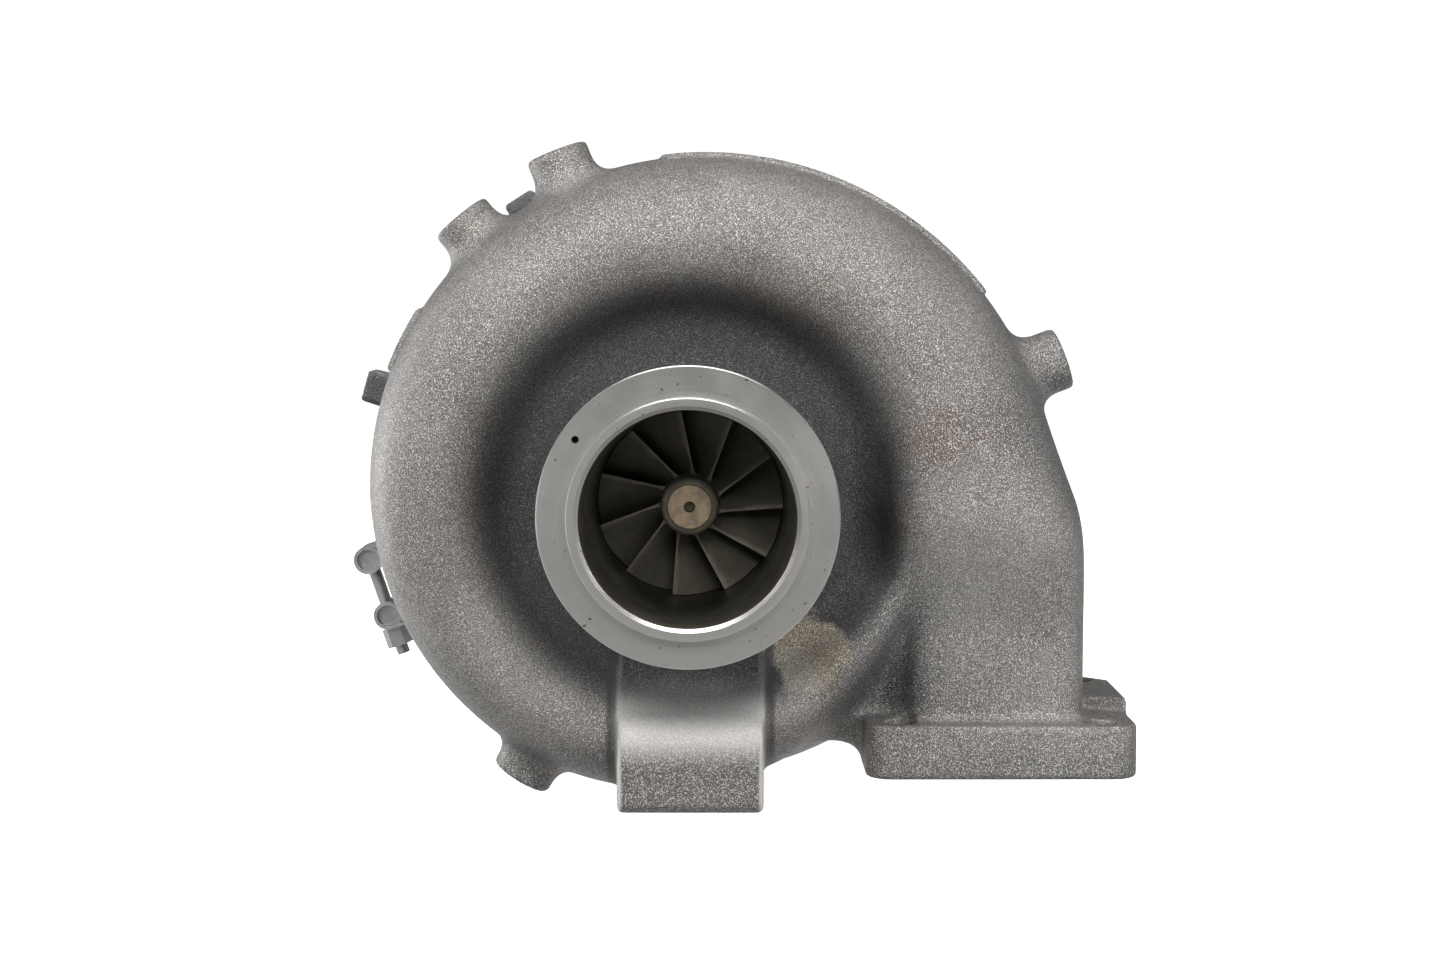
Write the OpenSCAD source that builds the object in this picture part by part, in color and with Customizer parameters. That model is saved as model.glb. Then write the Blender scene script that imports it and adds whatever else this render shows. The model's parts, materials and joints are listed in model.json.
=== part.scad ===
// Turbocharger with a twin-entry cast turbine housing.
// The shaft lies along Y. The turbine outlet faces -Y and the compressor inlet faces +Y.
// The origin is on the shaft axis, in the front face of the pilot ring at the turbine outlet.
// The turbine inlet flange faces down, -Z.

/* [Turbine outlet] */
// Outside diameter of the clamp flange at the turbine outlet
outlet_flange_d = 120; // [116:1:122]
// Outside diameter of the raised pilot ring
outlet_pilot_d = 95.5; // [94:0.5:98]
// Bore of the outlet at its mouth
outlet_bore_d = 85.8; // [84:0.2:88]
// How far the pilot ring stands in front of the flange face
pilot_height = 8; // [5:1:9]

/* [Turbine scroll] */
// Distance of the scroll's centre plane behind the pilot face
scroll_y = 108; // [106:1:110]
// Outer radius of the scroll at the inlet side, before it starts to shrink
scroll_r = 158.6; // [156:0.2:162]
// Radius of the scroll's inner side, next to the outlet neck
scroll_r_in = 78; // [76:1:80]
// Thickness of the cast walls round the gas passages
casting_wall = 7; // [6:0.5:8]

/* [Turbine inlet] */
// Size of the inlet flange along X
inlet_flange_x = 115; // [110:0.2:116]
// Size of the inlet flange along Y
inlet_flange_y = 97; // [95:1:99]
// Thickness of the inlet flange
inlet_flange_t = 23; // [20:1:25]
// Depth of the inlet flange's face below the shaft axis
inlet_drop = 116.6; // [114:0.2:117]
// Distance between bolt holes along X
inlet_bolts_x = 86; // [85:0.5:88]
// Distance between bolt holes along Y
inlet_bolts_y = 75; // [74:0.5:76]
// Diameter of the bolt holes
inlet_bolt_d = 13.5; // [13:0.5:14]

/* [Wheels] */
// Diameter of the turbine wheel where the gas leaves it
turbine_exducer_d = 77.8; // [76:0.2:78]
// Diameter of the turbine wheel where the gas enters it
turbine_inducer_d = 86; // [85:0.2:86.2]
// Number of turbine blades
turbine_blades = 11; // [9:1:12]
// Diameter of the compressor wheel where the air leaves it
compressor_exducer_d = 108; // [106:1:108]
// Diameter of the compressor wheel where the air enters it
compressor_inducer_d = 76; // [74:1:76]
// Number of full compressor blades, each with a shorter one beside it
compressor_blades = 7; // [6:1:8]

/* [Bearings] */
// Diameter of the shaft at its journals
journal_d = 15; // [14.8:0.1:15.2]
// Outside diameter of the floating bushes
bush_d = 23; // [22.8:0.1:23.2]
// Running clearance on each side of a bush, measured on the radius
running_clearance = 0.05; // [0.03:0.01:0.08]

/* [Hidden] */

// Colours
cast_iron = [0.36, 0.34, 0.32];
dark_iron = [0.30, 0.29, 0.28];
hot_metal = [0.33, 0.30, 0.25];
bright_steel = [0.72, 0.72, 0.72];
dull_steel = [0.55, 0.55, 0.56];
aluminium = [0.78, 0.78, 0.77];
bronze = [0.72, 0.52, 0.28];
seal_black = [0.10, 0.10, 0.10];

// Fineness of true round shapes and gaps between pieces that only touch
fine = 96;
small = 48;
fit_gap = 0.1;
tip_gap = 0.4;

// Turbine outlet
flange_r = outlet_flange_d / 2;
flange_edge = 4;
flange_back_y = pilot_height + 9;
neck_r = 50;

// Turbine scroll
scroll_b = 44;
scroll_b_loss = 0.03;
scroll_split = 180;
scroll_end = 352;
passage_end = 320;
divider = 5;
valley_y = 88;
column_in = 92;
column_out = 168.6;
column_y = 116;
column_b = 39;

// Inlet flange
inlet_x = 131.8;
inlet_y = column_y;
inlet_top_z = -inlet_drop + inlet_flange_t;
corner_r = 10;

// Stations along the shaft
exducer_y = 73;
inducer_y = 98;
wheel_back_y = 112;
joint_y = 158;
thrust_y = 186;
plate_y = 191.2;
backplate_y = 200;
cover_y = 208;
compressor_back_y = 208.8;
inducer_top_y = 246;
compressor_nose_y = 252;
shaft_end_y = 266;
inlet_end_y = 300;

// Joint between turbine housing and bearing housing
register_r = 62;
joint_r = 74;

// Tapered clamp flanges: depth of the taper, its run along Y, and width of each rim
taper_r = 5.5;
taper_y = 2;
joint_rim = 5;
cover_rim = 4.3;

// Compressor cover
rim_r = 136;
diffuser_gap = 6.5;
diffuser_r = 98;
volute_wall = 4.5;
volute_start = -62;
outlet_angle = 270;
outlet_r = 96;
outlet_passage = 28.5;
outlet_end_x = 166;
outlet_rise = 12;
outlet_hose_length = 40;
hose_r = 50;

// A profile of [radius, y] points turned about the shaft axis
module turned(profile, sides = fine) {
    rotate([-90, 0, 0]) rotate_extrude($fn = sides) polygon(profile);
}

// Turns its children round the shaft by an angle counted from +X towards +Z
module clock(angle) {
    rotate([0, -angle, 0]) children();
}

// A cylinder along Y between two stations
module along_y(r, y0, y1, sides = fine) {
    translate([0, y0, 0]) rotate([-90, 0, 0]) cylinder(r = r, h = y1 - y0, $fn = sides);
}

// A cylinder that points away from the shaft, between two radii
module radial_rod(r, r0, r1, y, sides = small) {
    translate([r0, y, 0]) rotate([0, 90, 0]) cylinder(r = r, h = r1 - r0, $fn = sides);
}

// Points of an arc about a centre, from one angle to another
function arc(centre, r, from, to, steps = 6) =
    [for (i = [0:steps]) centre + r * [cos(from + (to - from) * i / steps),
                                      sin(from + (to - from) * i / steps)]];

function mix(a, b, t) = a + (b - a) * t;

// Places a section of [radius, y] points in the radial plane at an angle, dropped by z
function place(section, angle, z = 0) =
    [for (p = section) [p[0] * cos(angle), p[1], p[0] * sin(angle) + z]];

// A closed solid through a list of rings that all have the same number of points
module loft(rings) {
    n = len(rings[0]);
    last = (len(rings) - 1) * n;
    polyhedron(
        points = [for (ring = rings) each ring],
        faces = concat(
            [[for (i = [0:n - 1]) i]],
            [[for (i = [n - 1:-1:0]) last + i]],
            [for (j = [0:len(rings) - 2]) for (i = [0:n - 1])
                each [[j * n + i, (j + 1) * n + (i + 1) % n, j * n + (i + 1) % n],
                      [j * n + i, (j + 1) * n + i, (j + 1) * n + (i + 1) % n]]]
        )
    );
}

// Outer radius of the turbine scroll: a spiral that widens to meet the inlet column
function spiral_r(a) = scroll_r - 0.11 * a - 2.2 * max(0, sin(a))
    + 6.5 * pow(max(0, 1 - a / 14), 2) - 0.0019 * pow(max(0, a - 235), 2);

// Sizes of the casting's section at a station: [inner, outer, centre y, half depth, power].
// The station s counts degrees round the scroll, or, below zero, millimetres down the column.
// The last stretch of the scroll moves outwards to close inside the column.
function skin(s) = s >= 0
    ? let (close = max(0, s - 315))
      [scroll_r_in + 0.32 * close, spiral_r(s) + 0.18 * close, scroll_y,
       scroll_b - scroll_b_loss * s - 0.12 * close, 2 + max(0, 1 - s / 25)]
    : let (t = min(1, -s / 60), q = t * t * (3 - 2 * t))
      [mix(scroll_r_in, column_in, q), mix(spiral_r(0), column_out, 1 - pow(max(0, 1 + s / 30), 3)),
       mix(scroll_y, column_y, q), mix(scroll_b, column_b, q), mix(3, 5, q)];

function sgn_pow(v, p) = sign(v) * pow(abs(v), p);

// Outside of the casting at a station, as one rounded loop
function skin_section(s, steps = 20) =
    let (k = skin(s), mid = (k[0] + k[1]) / 2, half = (k[1] - k[0]) / 2)
    [for (i = [0:steps - 1]) let (f = 360 * (i + 0.5) / steps)
        [mid + half * sgn_pow(cos(f), 2 / k[4]), k[2] + k[3] * sgn_pow(sin(f), 2 / k[4])]];

// Half of the gas passage at a station: side is -1 in front of the divider, 1 behind it
function passage_section(s, side, steps = 8) =
    let (k = skin(s), mid = (k[0] + k[1]) / 2, reach = k[1] - casting_wall - mid,
         t = s >= 0 ? max(0, 1 - s / 25) * 0.4 : mix(0.4, 1, min(1, -s / 60)),
         tip = mix(60, k[0] + casting_wall, t), depth = k[3] - casting_wall - divider / 2)
    [for (i = [0:steps]) let (f = 180 * i / steps, c = cos(f), u = sgn_pow(c, 2 / k[4]),
                              round = pow(max(0, sin(f)), 2 / k[4]),
                              taper = 1 - pow(abs(u), 1.3))
        [mid + (u > 0 ? reach : mid - tip) * u,
         k[2] + side * (divider / 2 + depth * (u > 0 ? round : mix(taper, round, t)))]];

column_steps = [inlet_top_z - 6, -75, -55, -38, -20, -8];
spiral_steps = [0, 4, 9, 15, for (a = [24:12:scroll_split]) a];

function flipped(ring) = [for (i = [len(ring) - 1:-1:0]) ring[i]];

// The first part of the scroll rises from the inlet, the second closes round to it
module scroll_skin() {
    loft(concat([for (z = column_steps) place(skin_section(z), 0, z)],
                [for (a = spiral_steps) place(skin_section(a), a)]));
    loft([for (i = [0:15]) let (a = mix(scroll_split, scroll_end, i / 15))
        place(skin_section(a), a)]);
}

// One of the two gas passages, from below the inlet flange to the end of the scroll
module scroll_passage(side) {
    rings = concat(
        [for (z = concat([-inlet_drop - 2], column_steps)) place(passage_section(z, side), 0, z)],
        [for (a = concat(spiral_steps, [for (a = [scroll_split + 14:14:passage_end]) a]))
            place(passage_section(a, side), a)]);
    loft(side > 0 ? rings : [for (ring = rings) flipped(ring)]);
}

// Neck, valley floor and rear flange, turned about the shaft
module turbine_hub() {
    turned(concat(
        [[0, 0], [outlet_pilot_d / 2, 0], [outlet_pilot_d / 2, pilot_height],
         [flange_r, pilot_height], [flange_r, pilot_height + flange_edge],
         [flange_r - 5, flange_back_y], [neck_r + 2, flange_back_y + 3]],
        arc([neck_r + 12, valley_y - 12], 12, 180, 90),
        [[scroll_r_in + 14, valley_y], [scroll_r_in + 14, 130], [joint_r - taper_r - 1, 139],
         [joint_r - taper_r - 1, joint_y - joint_rim - taper_y - 1],
         [joint_r - taper_r, joint_y - joint_rim - taper_y], [joint_r, joint_y - joint_rim],
         [joint_r, joint_y], [0, joint_y]]));
}

// Radius of the turbine blades' tips: straight at the outlet, then flared towards the inlet side
tip_curve_y = 85;
function turbine_tip_r(y) = turbine_exducer_d / 2
    + (turbine_inducer_d - turbine_exducer_d) / 2
      * pow(max(0, (y - tip_curve_y) / (inducer_y - tip_curve_y)), 2);

// The way of the gas through the wheel and out: nozzle slot, shroud, diffuser, mouth
module turbine_bore() {
    turned(concat(
        [[0, -1], [outlet_bore_d / 2 + 2.5, -1], [outlet_bore_d / 2, 1.5],
         [turbine_tip_r(exducer_y) + tip_gap, exducer_y - 3]],
        [for (y = [tip_curve_y:2:inducer_y - 1]) [turbine_tip_r(y) + tip_gap, y]],
        [[register_r + 4, inducer_y - 0.5], [register_r + 4, wheel_back_y],
         [register_r - 9, wheel_back_y], [register_r - 9, 121], [register_r, 121],
         [register_r, joint_y + 1], [0, joint_y + 1]]));
}

// Angles round the shaft and end radii of the four cast bosses
BOSSES = [[111.3, 159.5], [129.5, 156.3], [20.5, 171.8], [238.7, 144.5]];
boss_r = 13.5;
boss_hole_r = 4.25;
boss_hole_depth = 12;

module foot_block() {
    foot_half = 31;
    front_y = 64;
    bottom_z = -126;
    translate([-foot_half, 0, 0]) rotate([90, 0, 90]) linear_extrude(2 * foot_half)
        polygon(concat(
            [[140, -42], [140, bottom_z], [front_y + 3, bottom_z], [front_y, bottom_z + 3]],
            arc([front_y + 18, -104], 18, 180, 125, 4),
            arc([front_y - 7.2, -68], 26, -55, 0, 4), [[front_y + 18.8, -42]]));
}

// Saddle between the end of the scroll, the column and the inlet flange
module saddle() {
    front_y = 94;
    back_y = 146;
    translate([0, back_y, 0]) rotate([90, 0, 0]) linear_extrude(back_y - front_y)
        polygon([[56, -88], [57, -102], [66, -106.5], [78, -113], [column_in + 4, -113],
                 [column_in + 4, -52], [80, -60]]);
}

// A low raised land on the rim of the scroll
module rim_land(from, to, step) {
    height = 1.2;
    half = 14;
    loft([for (a = [from:step:to])
        place([[spiral_r(a) - 8, scroll_y + 4 - half], [spiral_r(a) + height, scroll_y + 6 - half],
               [spiral_r(a) + height, scroll_y + 2 + half], [spiral_r(a) - 8, scroll_y + 4 + half]],
              a)]);
}

module inlet_flange_solid() {
    x0 = inlet_x - inlet_flange_x / 2;
    y0 = inlet_y - inlet_flange_y / 2;
    translate([x0 + corner_r, y0, -inlet_drop])
        cube([inlet_flange_x - 2 * corner_r, inlet_flange_y, inlet_flange_t]);
    translate([x0, y0 + corner_r, -inlet_drop])
        cube([inlet_flange_x, inlet_flange_y - 2 * corner_r, inlet_flange_t]);
    for (x = [x0 + corner_r, x0 + inlet_flange_x - corner_r])
        for (y = [y0 + corner_r, y0 + inlet_flange_y - corner_r])
            translate([x, y, -inlet_drop]) cylinder(r = corner_r, h = inlet_flange_t, $fn = small);
    // Raised land over the rear bolt, with a slanted front edge
    right = x0 + inlet_flange_x;
    back = y0 + inlet_flange_y;
    translate([0, 0, inlet_top_z - 5]) linear_extrude(11)
        polygon([[150, inlet_y + 2], [right, inlet_y - 14], [right, back - 14],
                 [right - 14, back], [150, back]]);
}

module turbine_housing() {
    color(cast_iron) difference() {
        union() {
            scroll_skin();
            turbine_hub();
            inlet_flange_solid();
            foot_block();
            saddle();
            rim_land(35, 95, 12);
            rim_land(145, 157, 12);
            for (b = BOSSES) clock(b[0]) radial_rod(boss_r, spiral_r(b[0]) - 12, b[1], scroll_y + 2);
        }
        scroll_passage(-1);
        scroll_passage(1);
        turbine_bore();
        for (b = BOSSES)
            clock(b[0]) radial_rod(boss_hole_r, b[1] - boss_hole_depth, b[1] + 1, scroll_y + 2);
        for (x = [-1, 1], y = [-1, 1])
            translate([inlet_x + x * inlet_bolts_x / 2, inlet_y + y * inlet_bolts_y / 2,
                       -inlet_drop - 1])
                cylinder(d = inlet_bolt_d, h = inlet_flange_t + 14, $fn = small);
        // Small locating hole in the flange face
        clock(145) translate([(outlet_pilot_d / 2 + flange_r) / 2, 0, 0])
            along_y(1.5, pilot_height - 1, pilot_height + 5, small);
        // Hole for the dowel that sets the two housings round the shaft
        clock(90) translate([(register_r + joint_r) / 2, 0, 0])
            along_y(2, joint_y - 6, joint_y + 1, small);
    }
}

// ---- Rotor ----

// A blade as a closed solid between a hub curve and a tip curve, [radius, y, angle, half thickness]
module blade(hub, tip, rows = 2) {
    side = function (p, q, t, sgn) let (r = mix(p[0], q[0], t), y = mix(p[1], q[1], t),
        a = mix(p[2], q[2], t) + sgn * mix(p[3], q[3], t) / r * 180 / PI)
        [r * cos(a), y, r * sin(a)];
    loft([for (i = [0:len(hub) - 1]) concat(
        [for (j = [0:rows]) side(hub[i], tip[i], j / rows, 1)],
        [for (j = [rows:-1:0]) side(hub[i], tip[i], j / rows, -1)])]);
}

hub_nose_y = 57;
hub_nose_r = 9.3;

// Turbine hub outline, from the nose to the back face
function turbine_hub_r(y) = y < exducer_y ? mix(11.5, 12.6, (y - hub_nose_y) / (exducer_y - hub_nose_y))
    : 12.6 + (turbine_inducer_d / 2 - 16) * pow(max(0, (y - 80) / (wheel_back_y - 81.5)), 2.6);

module turbine_wheel() {
    steps = 7;
    sweep = function (t) 46 * (1 - pow(1 - t, 2.2));
    // The outlet edges pass a little beside the shaft axis
    lean = function (t) -12.3 * pow(1 - t, 1.6);
    first_blade = -2.3;
    color(hot_metal) {
        turned(concat([[0, hub_nose_y], [hub_nose_r, hub_nose_y], [11.2, hub_nose_y + 3]],
                      [for (y = [exducer_y - 2:6:109]) [turbine_hub_r(y), y]],
                      [[turbine_inducer_d / 2 - 3, wheel_back_y - 1.5],
                       [turbine_inducer_d / 2 - 3, wheel_back_y - 0.2], [16, wheel_back_y + 1.2],
                       [12, wheel_back_y + 2.8], [11, wheel_back_y + 6], [0, wheel_back_y + 6]]));
        for (i = [0:turbine_blades - 1]) clock(first_blade + i * 360 / turbine_blades) blade(
            [for (k = [0:steps]) let (t = k / steps, y = mix(exducer_y, wheel_back_y - 2.2, t))
                [turbine_hub_r(y) - 2.5, y, sweep(t) + lean(t), 1.1]],
            [for (k = [0:steps]) let (t = k / steps, y = mix(exducer_y, wheel_back_y - 2.2, t))
                [turbine_tip_r(min(y, inducer_y)), y, sweep(t), 0.7]]);
    }
}

// Shaft with its seal boss, journals and the thinner end that carries the compressor wheel
shaft_end_r = 5;
boss_y = wheel_back_y + 6.02;

module rotor_shaft() {
    color(bright_steel) turned([
        [0, boss_y], [11, boss_y], [11, 124], [9.4, 124], [9.4, 126.4], [11, 126.4], [11, 131.5],
        [journal_d / 2, 131.5], [journal_d / 2, 182], [shaft_end_r, 182],
        [shaft_end_r, shaft_end_y - 1], [shaft_end_r - 1, shaft_end_y], [0, shaft_end_y]], small);
}

// A rectangular-section ring about the shaft
module plain_ring(r_in, r_out, y0, y1, sides = small) {
    turned([[r_in, y0], [r_out, y0], [r_out, y1], [r_in, y1]], sides);
}

// A ring with a cut in it, as a piston ring or snap ring has
module split_ring(r_in, r_out, y0, y1, gap, angle) {
    difference() {
        plain_ring(r_in, r_out, y0, y1);
        clock(angle) translate([0, y0 - 1, -gap / 2]) cube([r_out + 1, y1 - y0 + 2, gap]);
    }
}

module turbine_seal_ring() {
    color(dull_steel) split_ring(9.6, 11.34, 124.2, 126.2, 0.6, 100);
}

module compressor_seal_ring() {
    color(dull_steel) split_ring(9.6, 11.34, 200.2, 202.2, 0.6, 80);
}

// ---- Centre section ----

module heat_shield() {
    color(dull_steel) turned([
        [14, 115.2], [30, 115.2], [46, 113.4], [52.5, 113.4], [52.5, 120.6], [51.3, 120.6],
        [51.3, 114.6], [46.2, 114.6], [30.2, 116.4], [14, 116.4]]);
}

bore_r = bush_d / 2 + running_clearance;
oil_hole_r = 3;
drain_r = 10.5;
pad_top_z = 72;
pad_bottom_z = -74;
pad_y = 180;

module bearing_housing() {
    seal_r = 11.4;
    color(dark_iron) difference() {
        union() {
            turned(concat(
                [[0, 119], [20, 119], [24, 121.2], [register_r - fit_gap, 121.2],
                 [register_r - fit_gap, joint_y + fit_gap], [joint_r, joint_y + fit_gap],
                 [joint_r, joint_y + joint_rim], [joint_r - taper_r, joint_y + joint_rim + taper_y],
                 [joint_r - taper_r - 1, joint_y + joint_rim + taper_y + 1]],
                arc([54, 176], 8, 270, 180, 4),
                [[46, 185], [84, 192], [84, backplate_y], [0, backplate_y]]));
            // Oil inlet pad above and drain pad below
            translate([-22, pad_y - 13, 0]) cube([44, 26, pad_top_z]);
            translate([-27, pad_y - 13, pad_bottom_z]) cube([54, 26, -pad_bottom_z]);
        }
        // Seal bore, bearing bore, oil gallery, pockets for the thrust parts and the seal plate
        turned([[0, 118], [seal_r, 118], [seal_r, 130], [13.5, 130], [13.5, 134], [bore_r, 134],
                [bore_r, 182.6], [16, 182.6], [16, thrust_y], [30.1, thrust_y], [30.1, plate_y - 0.1],
                [38.1, plate_y - 0.1], [38.1, backplate_y + 1], [0, backplate_y + 1]]);
        turned([[11, 152], [22, 152], [22, 168], [11, 168]]);
        for (y = RING_Y) plain_ring(bore_r - 1, 12.8, y - 0.05, y + 1.25);
        plain_ring(37, 40.2, 196.5, 198.3);
        // Oil in from above, drilled on to each bush, and out below
        translate([0, pad_y, 40]) cylinder(r = 4.5, h = pad_top_z, $fn = small);
        for (target = [143.5, 175.5]) drilled_hole([0, pad_y, 44], [0, target, 8], oil_hole_r);
        translate([0, pad_y, pad_bottom_z - 1]) cylinder(r = drain_r, h = 62, $fn = small);
        translate([-10, 154, -40]) cube([20, 26, 40]);
        for (x = [-15, 15]) translate([x, pad_y, pad_top_z - 14])
            cylinder(r = 3.4, h = 15, $fn = small);
        for (x = [-20.5, 20.5]) translate([x, pad_y, pad_bottom_z - 1])
            cylinder(r = 3.4, h = 15, $fn = small);
        // Tapped holes for the backplate and for the thrust bearing
        for (i = [0:5]) clock(i * 60 + 30) translate([62, 0, 0])
            along_y(3.4, backplate_y - 9, backplate_y + 1, small);
        for (i = [0:1]) clock(i * 180) translate([24, 0, 0]) along_y(1.65, thrust_y - 7, thrust_y + 1, 24);
        clock(90) translate([(register_r + joint_r) / 2, 0, 0])
            along_y(2, joint_y - 1, joint_y + 5, small);
    }
}

// A straight drilled hole between two points in the plane x = 0
module drilled_hole(from, to, r) {
    d = to - from;
    translate(from) rotate([atan2(-d[1], d[2]), 0, 0]) cylinder(r = r, h = norm(d), $fn = small);
}

module locating_dowel() {
    color(bright_steel) clock(90) translate([(register_r + joint_r) / 2, 0, 0])
        along_y(1.95, joint_y - 5.5, joint_y + 4.5, small);
}

// Retaining rings on both sides of each bush
RING_Y = [135.2, 150, 167.3, 181];

module bush_retaining_rings() {
    color(bright_steel) for (y = RING_Y) split_ring(10.2, 12.7, y, y + 1.2, 3, 270);
}

module bush(y0, y1) {
    mid = (y0 + y1) / 2;
    color(bronze) difference() {
        plain_ring(journal_d / 2 + running_clearance, bush_d / 2, y0, y1);
        for (a = [0:60:300]) clock(a) radial_rod(1.3, 5, 13, mid, 24);
    }
}

module turbine_end_bush() bush(136.8, 149.6);
module compressor_end_bush() bush(168.9, 180.6);

module thrust_collar() {
    color(bright_steel) turned([[shaft_end_r + 0.03, 182.05], [9, 182.05], [9, 182.9], [14.5, 182.9],
        [14.5, 185.9], [9, 185.9], [9, 191.1], [shaft_end_r + 0.03, 191.1]]);
}

module thrust_bearing() {
    color(bronze) difference() {
        plain_ring(9.1, 30, thrust_y + 0.05, 191);
        for (i = [0:1]) clock(i * 180) translate([24, 0, 0]) along_y(2, thrust_y - 1, 192, 24);
        // Oil hole from the edge to the pads
        clock(90) radial_rod(1.2, 8, 32, 188.5, 24);
    }
}

module thrust_bearing_screws() {
    color(dull_steel) for (i = [0:1]) clock(i * 180) translate([24, 0, 0]) difference() {
        union() {
            along_y(1.6, thrust_y - 6, 191.1, 24);
            along_y(3.2, 191.05, 192.6, 24);
        }
        along_y(1.2, 191.6, 193, 6);
    }
}

module oil_flinger() {
    color(bright_steel) turned([[shaft_end_r + 0.03, 191.15], [14.5, 191.15], [14.5, 194], [11, 194],
        [11, 200], [9.4, 200], [9.4, 202.4], [11, 202.4], [11, 208.7], [shaft_end_r + 0.03, 208.7]]);
}

module oil_seal_plate() {
    color(aluminium) difference() {
        turned([[18, plate_y], [38, plate_y], [38, 192.6], [36.2, 192.6], [36.2, 194.8], [38, 194.8],
            [38, 196.4], [31, 196.4], [31, 207.6], [11.4, 207.6], [11.4, 196], [18, 196]]);
        for (i = [0:1]) clock(i * 180) translate([24, 0, 0]) along_y(4, plate_y - 1, 193.4, 24);
    }
}

// A ring of round section
module o_ring(r, y, section_r) {
    rotate([-90, 0, 0]) translate([0, 0, y]) rotate_extrude($fn = fine)
        translate([r, 0]) circle(r = section_r, $fn = 24);
}

module seal_plate_o_ring() {
    color(seal_black) o_ring(37.13, 193.7, 0.92);
}

module seal_plate_snap_ring() {
    color(dull_steel) split_ring(34, 40.1, 196.55, 198.2, 14, 270);
}

module compressor_backplate() {
    color(aluminium) difference() {
        turned([[42, backplate_y + fit_gap], [rim_r - taper_r - 1, backplate_y + fit_gap],
            [rim_r - taper_r, cover_y - cover_rim - taper_y], [rim_r, cover_y - cover_rim],
            [rim_r, cover_y], [121.4, cover_y], [121.4, 206.4], [118, 206.4], [118, cover_y],
            [31.3, cover_y], [31.3, 205], [42, 205]]);
        for (i = [0:5]) clock(i * 60 + 30) translate([62, 0, 0]) {
            along_y(4.2, backplate_y - 1, cover_y + 1, small);
            along_y(7, 202.6, cover_y + 1, small);
        }
        plain_ring(46, 49.2, backplate_y - 1, 202);
    }
}

module backplate_o_ring() {
    color(seal_black) o_ring(47.6, 201.03, 0.92);
}

module backplate_screws() {
    color(dull_steel) for (i = [0:5]) clock(i * 60 + 30) translate([62, 0, 0]) difference() {
        union() {
            along_y(3.3, backplate_y - 8, 202.8, small);
            along_y(6.5, 202.7, 207.7, small);
        }
        along_y(3, 204.4, 208, 6);
    }
}

// ---- Compressor ----

module compressor_wheel() {
    steps = 7;
    back = compressor_back_y;
    tip = compressor_exducer_d / 2;
    hub = function (t) [mix(tip - 1, 10.5, sin(90 * t)),
                        mix(back + 1.6, inducer_top_y, 1 - cos(90 * t))];
    // Full blades run the whole way, splitters only part of it
    blade_pair = [[0, 1], [0.5, 0.72]];
    color(aluminium) {
        turned(concat([[shaft_end_r + 0.03, back], [tip, back]],
                      [for (k = [0:8]) hub(k / 8)],
                      [[9, compressor_nose_y], [shaft_end_r + 0.03, compressor_nose_y]]));
        for (i = [0:compressor_blades - 1], kind = blade_pair)
            clock((i + kind[0]) * 360 / compressor_blades) blade(
                [for (k = [0:steps]) let (t = k / steps * kind[1])
                    [hub(t)[0] - 1, hub(t)[1] - 0.8, -62 * pow(t, 1.3), 0.9]],
                [for (k = [0:steps]) let (t = k / steps * kind[1])
                    [compressor_tip(t)[0], compressor_tip(t)[1], -62 * pow(t, 1.3), 0.45]]);
    }
}

module compressor_locknut() {
    color(dull_steel) difference() {
        union() {
            along_y(9.5, compressor_nose_y + 0.02, compressor_nose_y + 2.5, small);
            along_y(8.6, compressor_nose_y + 2.4, compressor_nose_y + 10, 6);
        }
        along_y(shaft_end_r + 0.03, compressor_nose_y - 1, compressor_nose_y + 11, small);
    }
}

// Passage radius and centre of the compressor volute, t from 0 at the tongue to 1 at the outlet
function volute_p(t) = mix(13, outlet_passage, t);
// The last stretch moves away from the joint, so that the outlet pipe clears the clamp
function volute_c(t) = [mix(92, outlet_r, t),
                        cover_y + volute_wall + volute_p(t) + outlet_rise * pow(max(0, (t - 0.8) / 0.2), 2)];
function volute_angle(t) = mix(volute_start, outlet_angle, t);
function ring_section(c, r, steps) =
    [for (i = [0:steps - 1]) c + r * [cos(360 * (i + 0.5) / steps), sin(360 * (i + 0.5) / steps)]];

module volute(wall, steps) {
    turns = 28;
    loft([for (k = [0:turns]) let (t = k / turns)
        place(ring_section(volute_c(t), volute_p(t) + wall, steps), volute_angle(t))]);
}

// Clearance contour of the compressor blades' tips, t from 0 at the outlet to 1 at the inlet
function compressor_tip(t) = [mix(compressor_exducer_d / 2, compressor_inducer_d / 2, sin(90 * t)),
                              mix(cover_y + diffuser_gap - 0.5, inducer_top_y, 1 - cos(90 * t))];

// Lugs on the compressor cover: angle round the shaft and end radius
LUGS = [[164.5, 163.8], [122.3, 157.4]];
lug_half = 7.5;
lug_y = 229;

// A lug that widens towards the cover and ends in a flat machined face
module lug(r_end) {
    root = 104;
    neck = 132;
    translate([0, lug_y + 11, 0]) rotate([90, 0, 0]) linear_extrude(22)
        polygon([[root, -22], [neck, -lug_half - 1.5], [r_end, -lug_half], [r_end, lug_half],
                 [neck, lug_half + 1.5], [root, 22]]);
}

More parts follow.
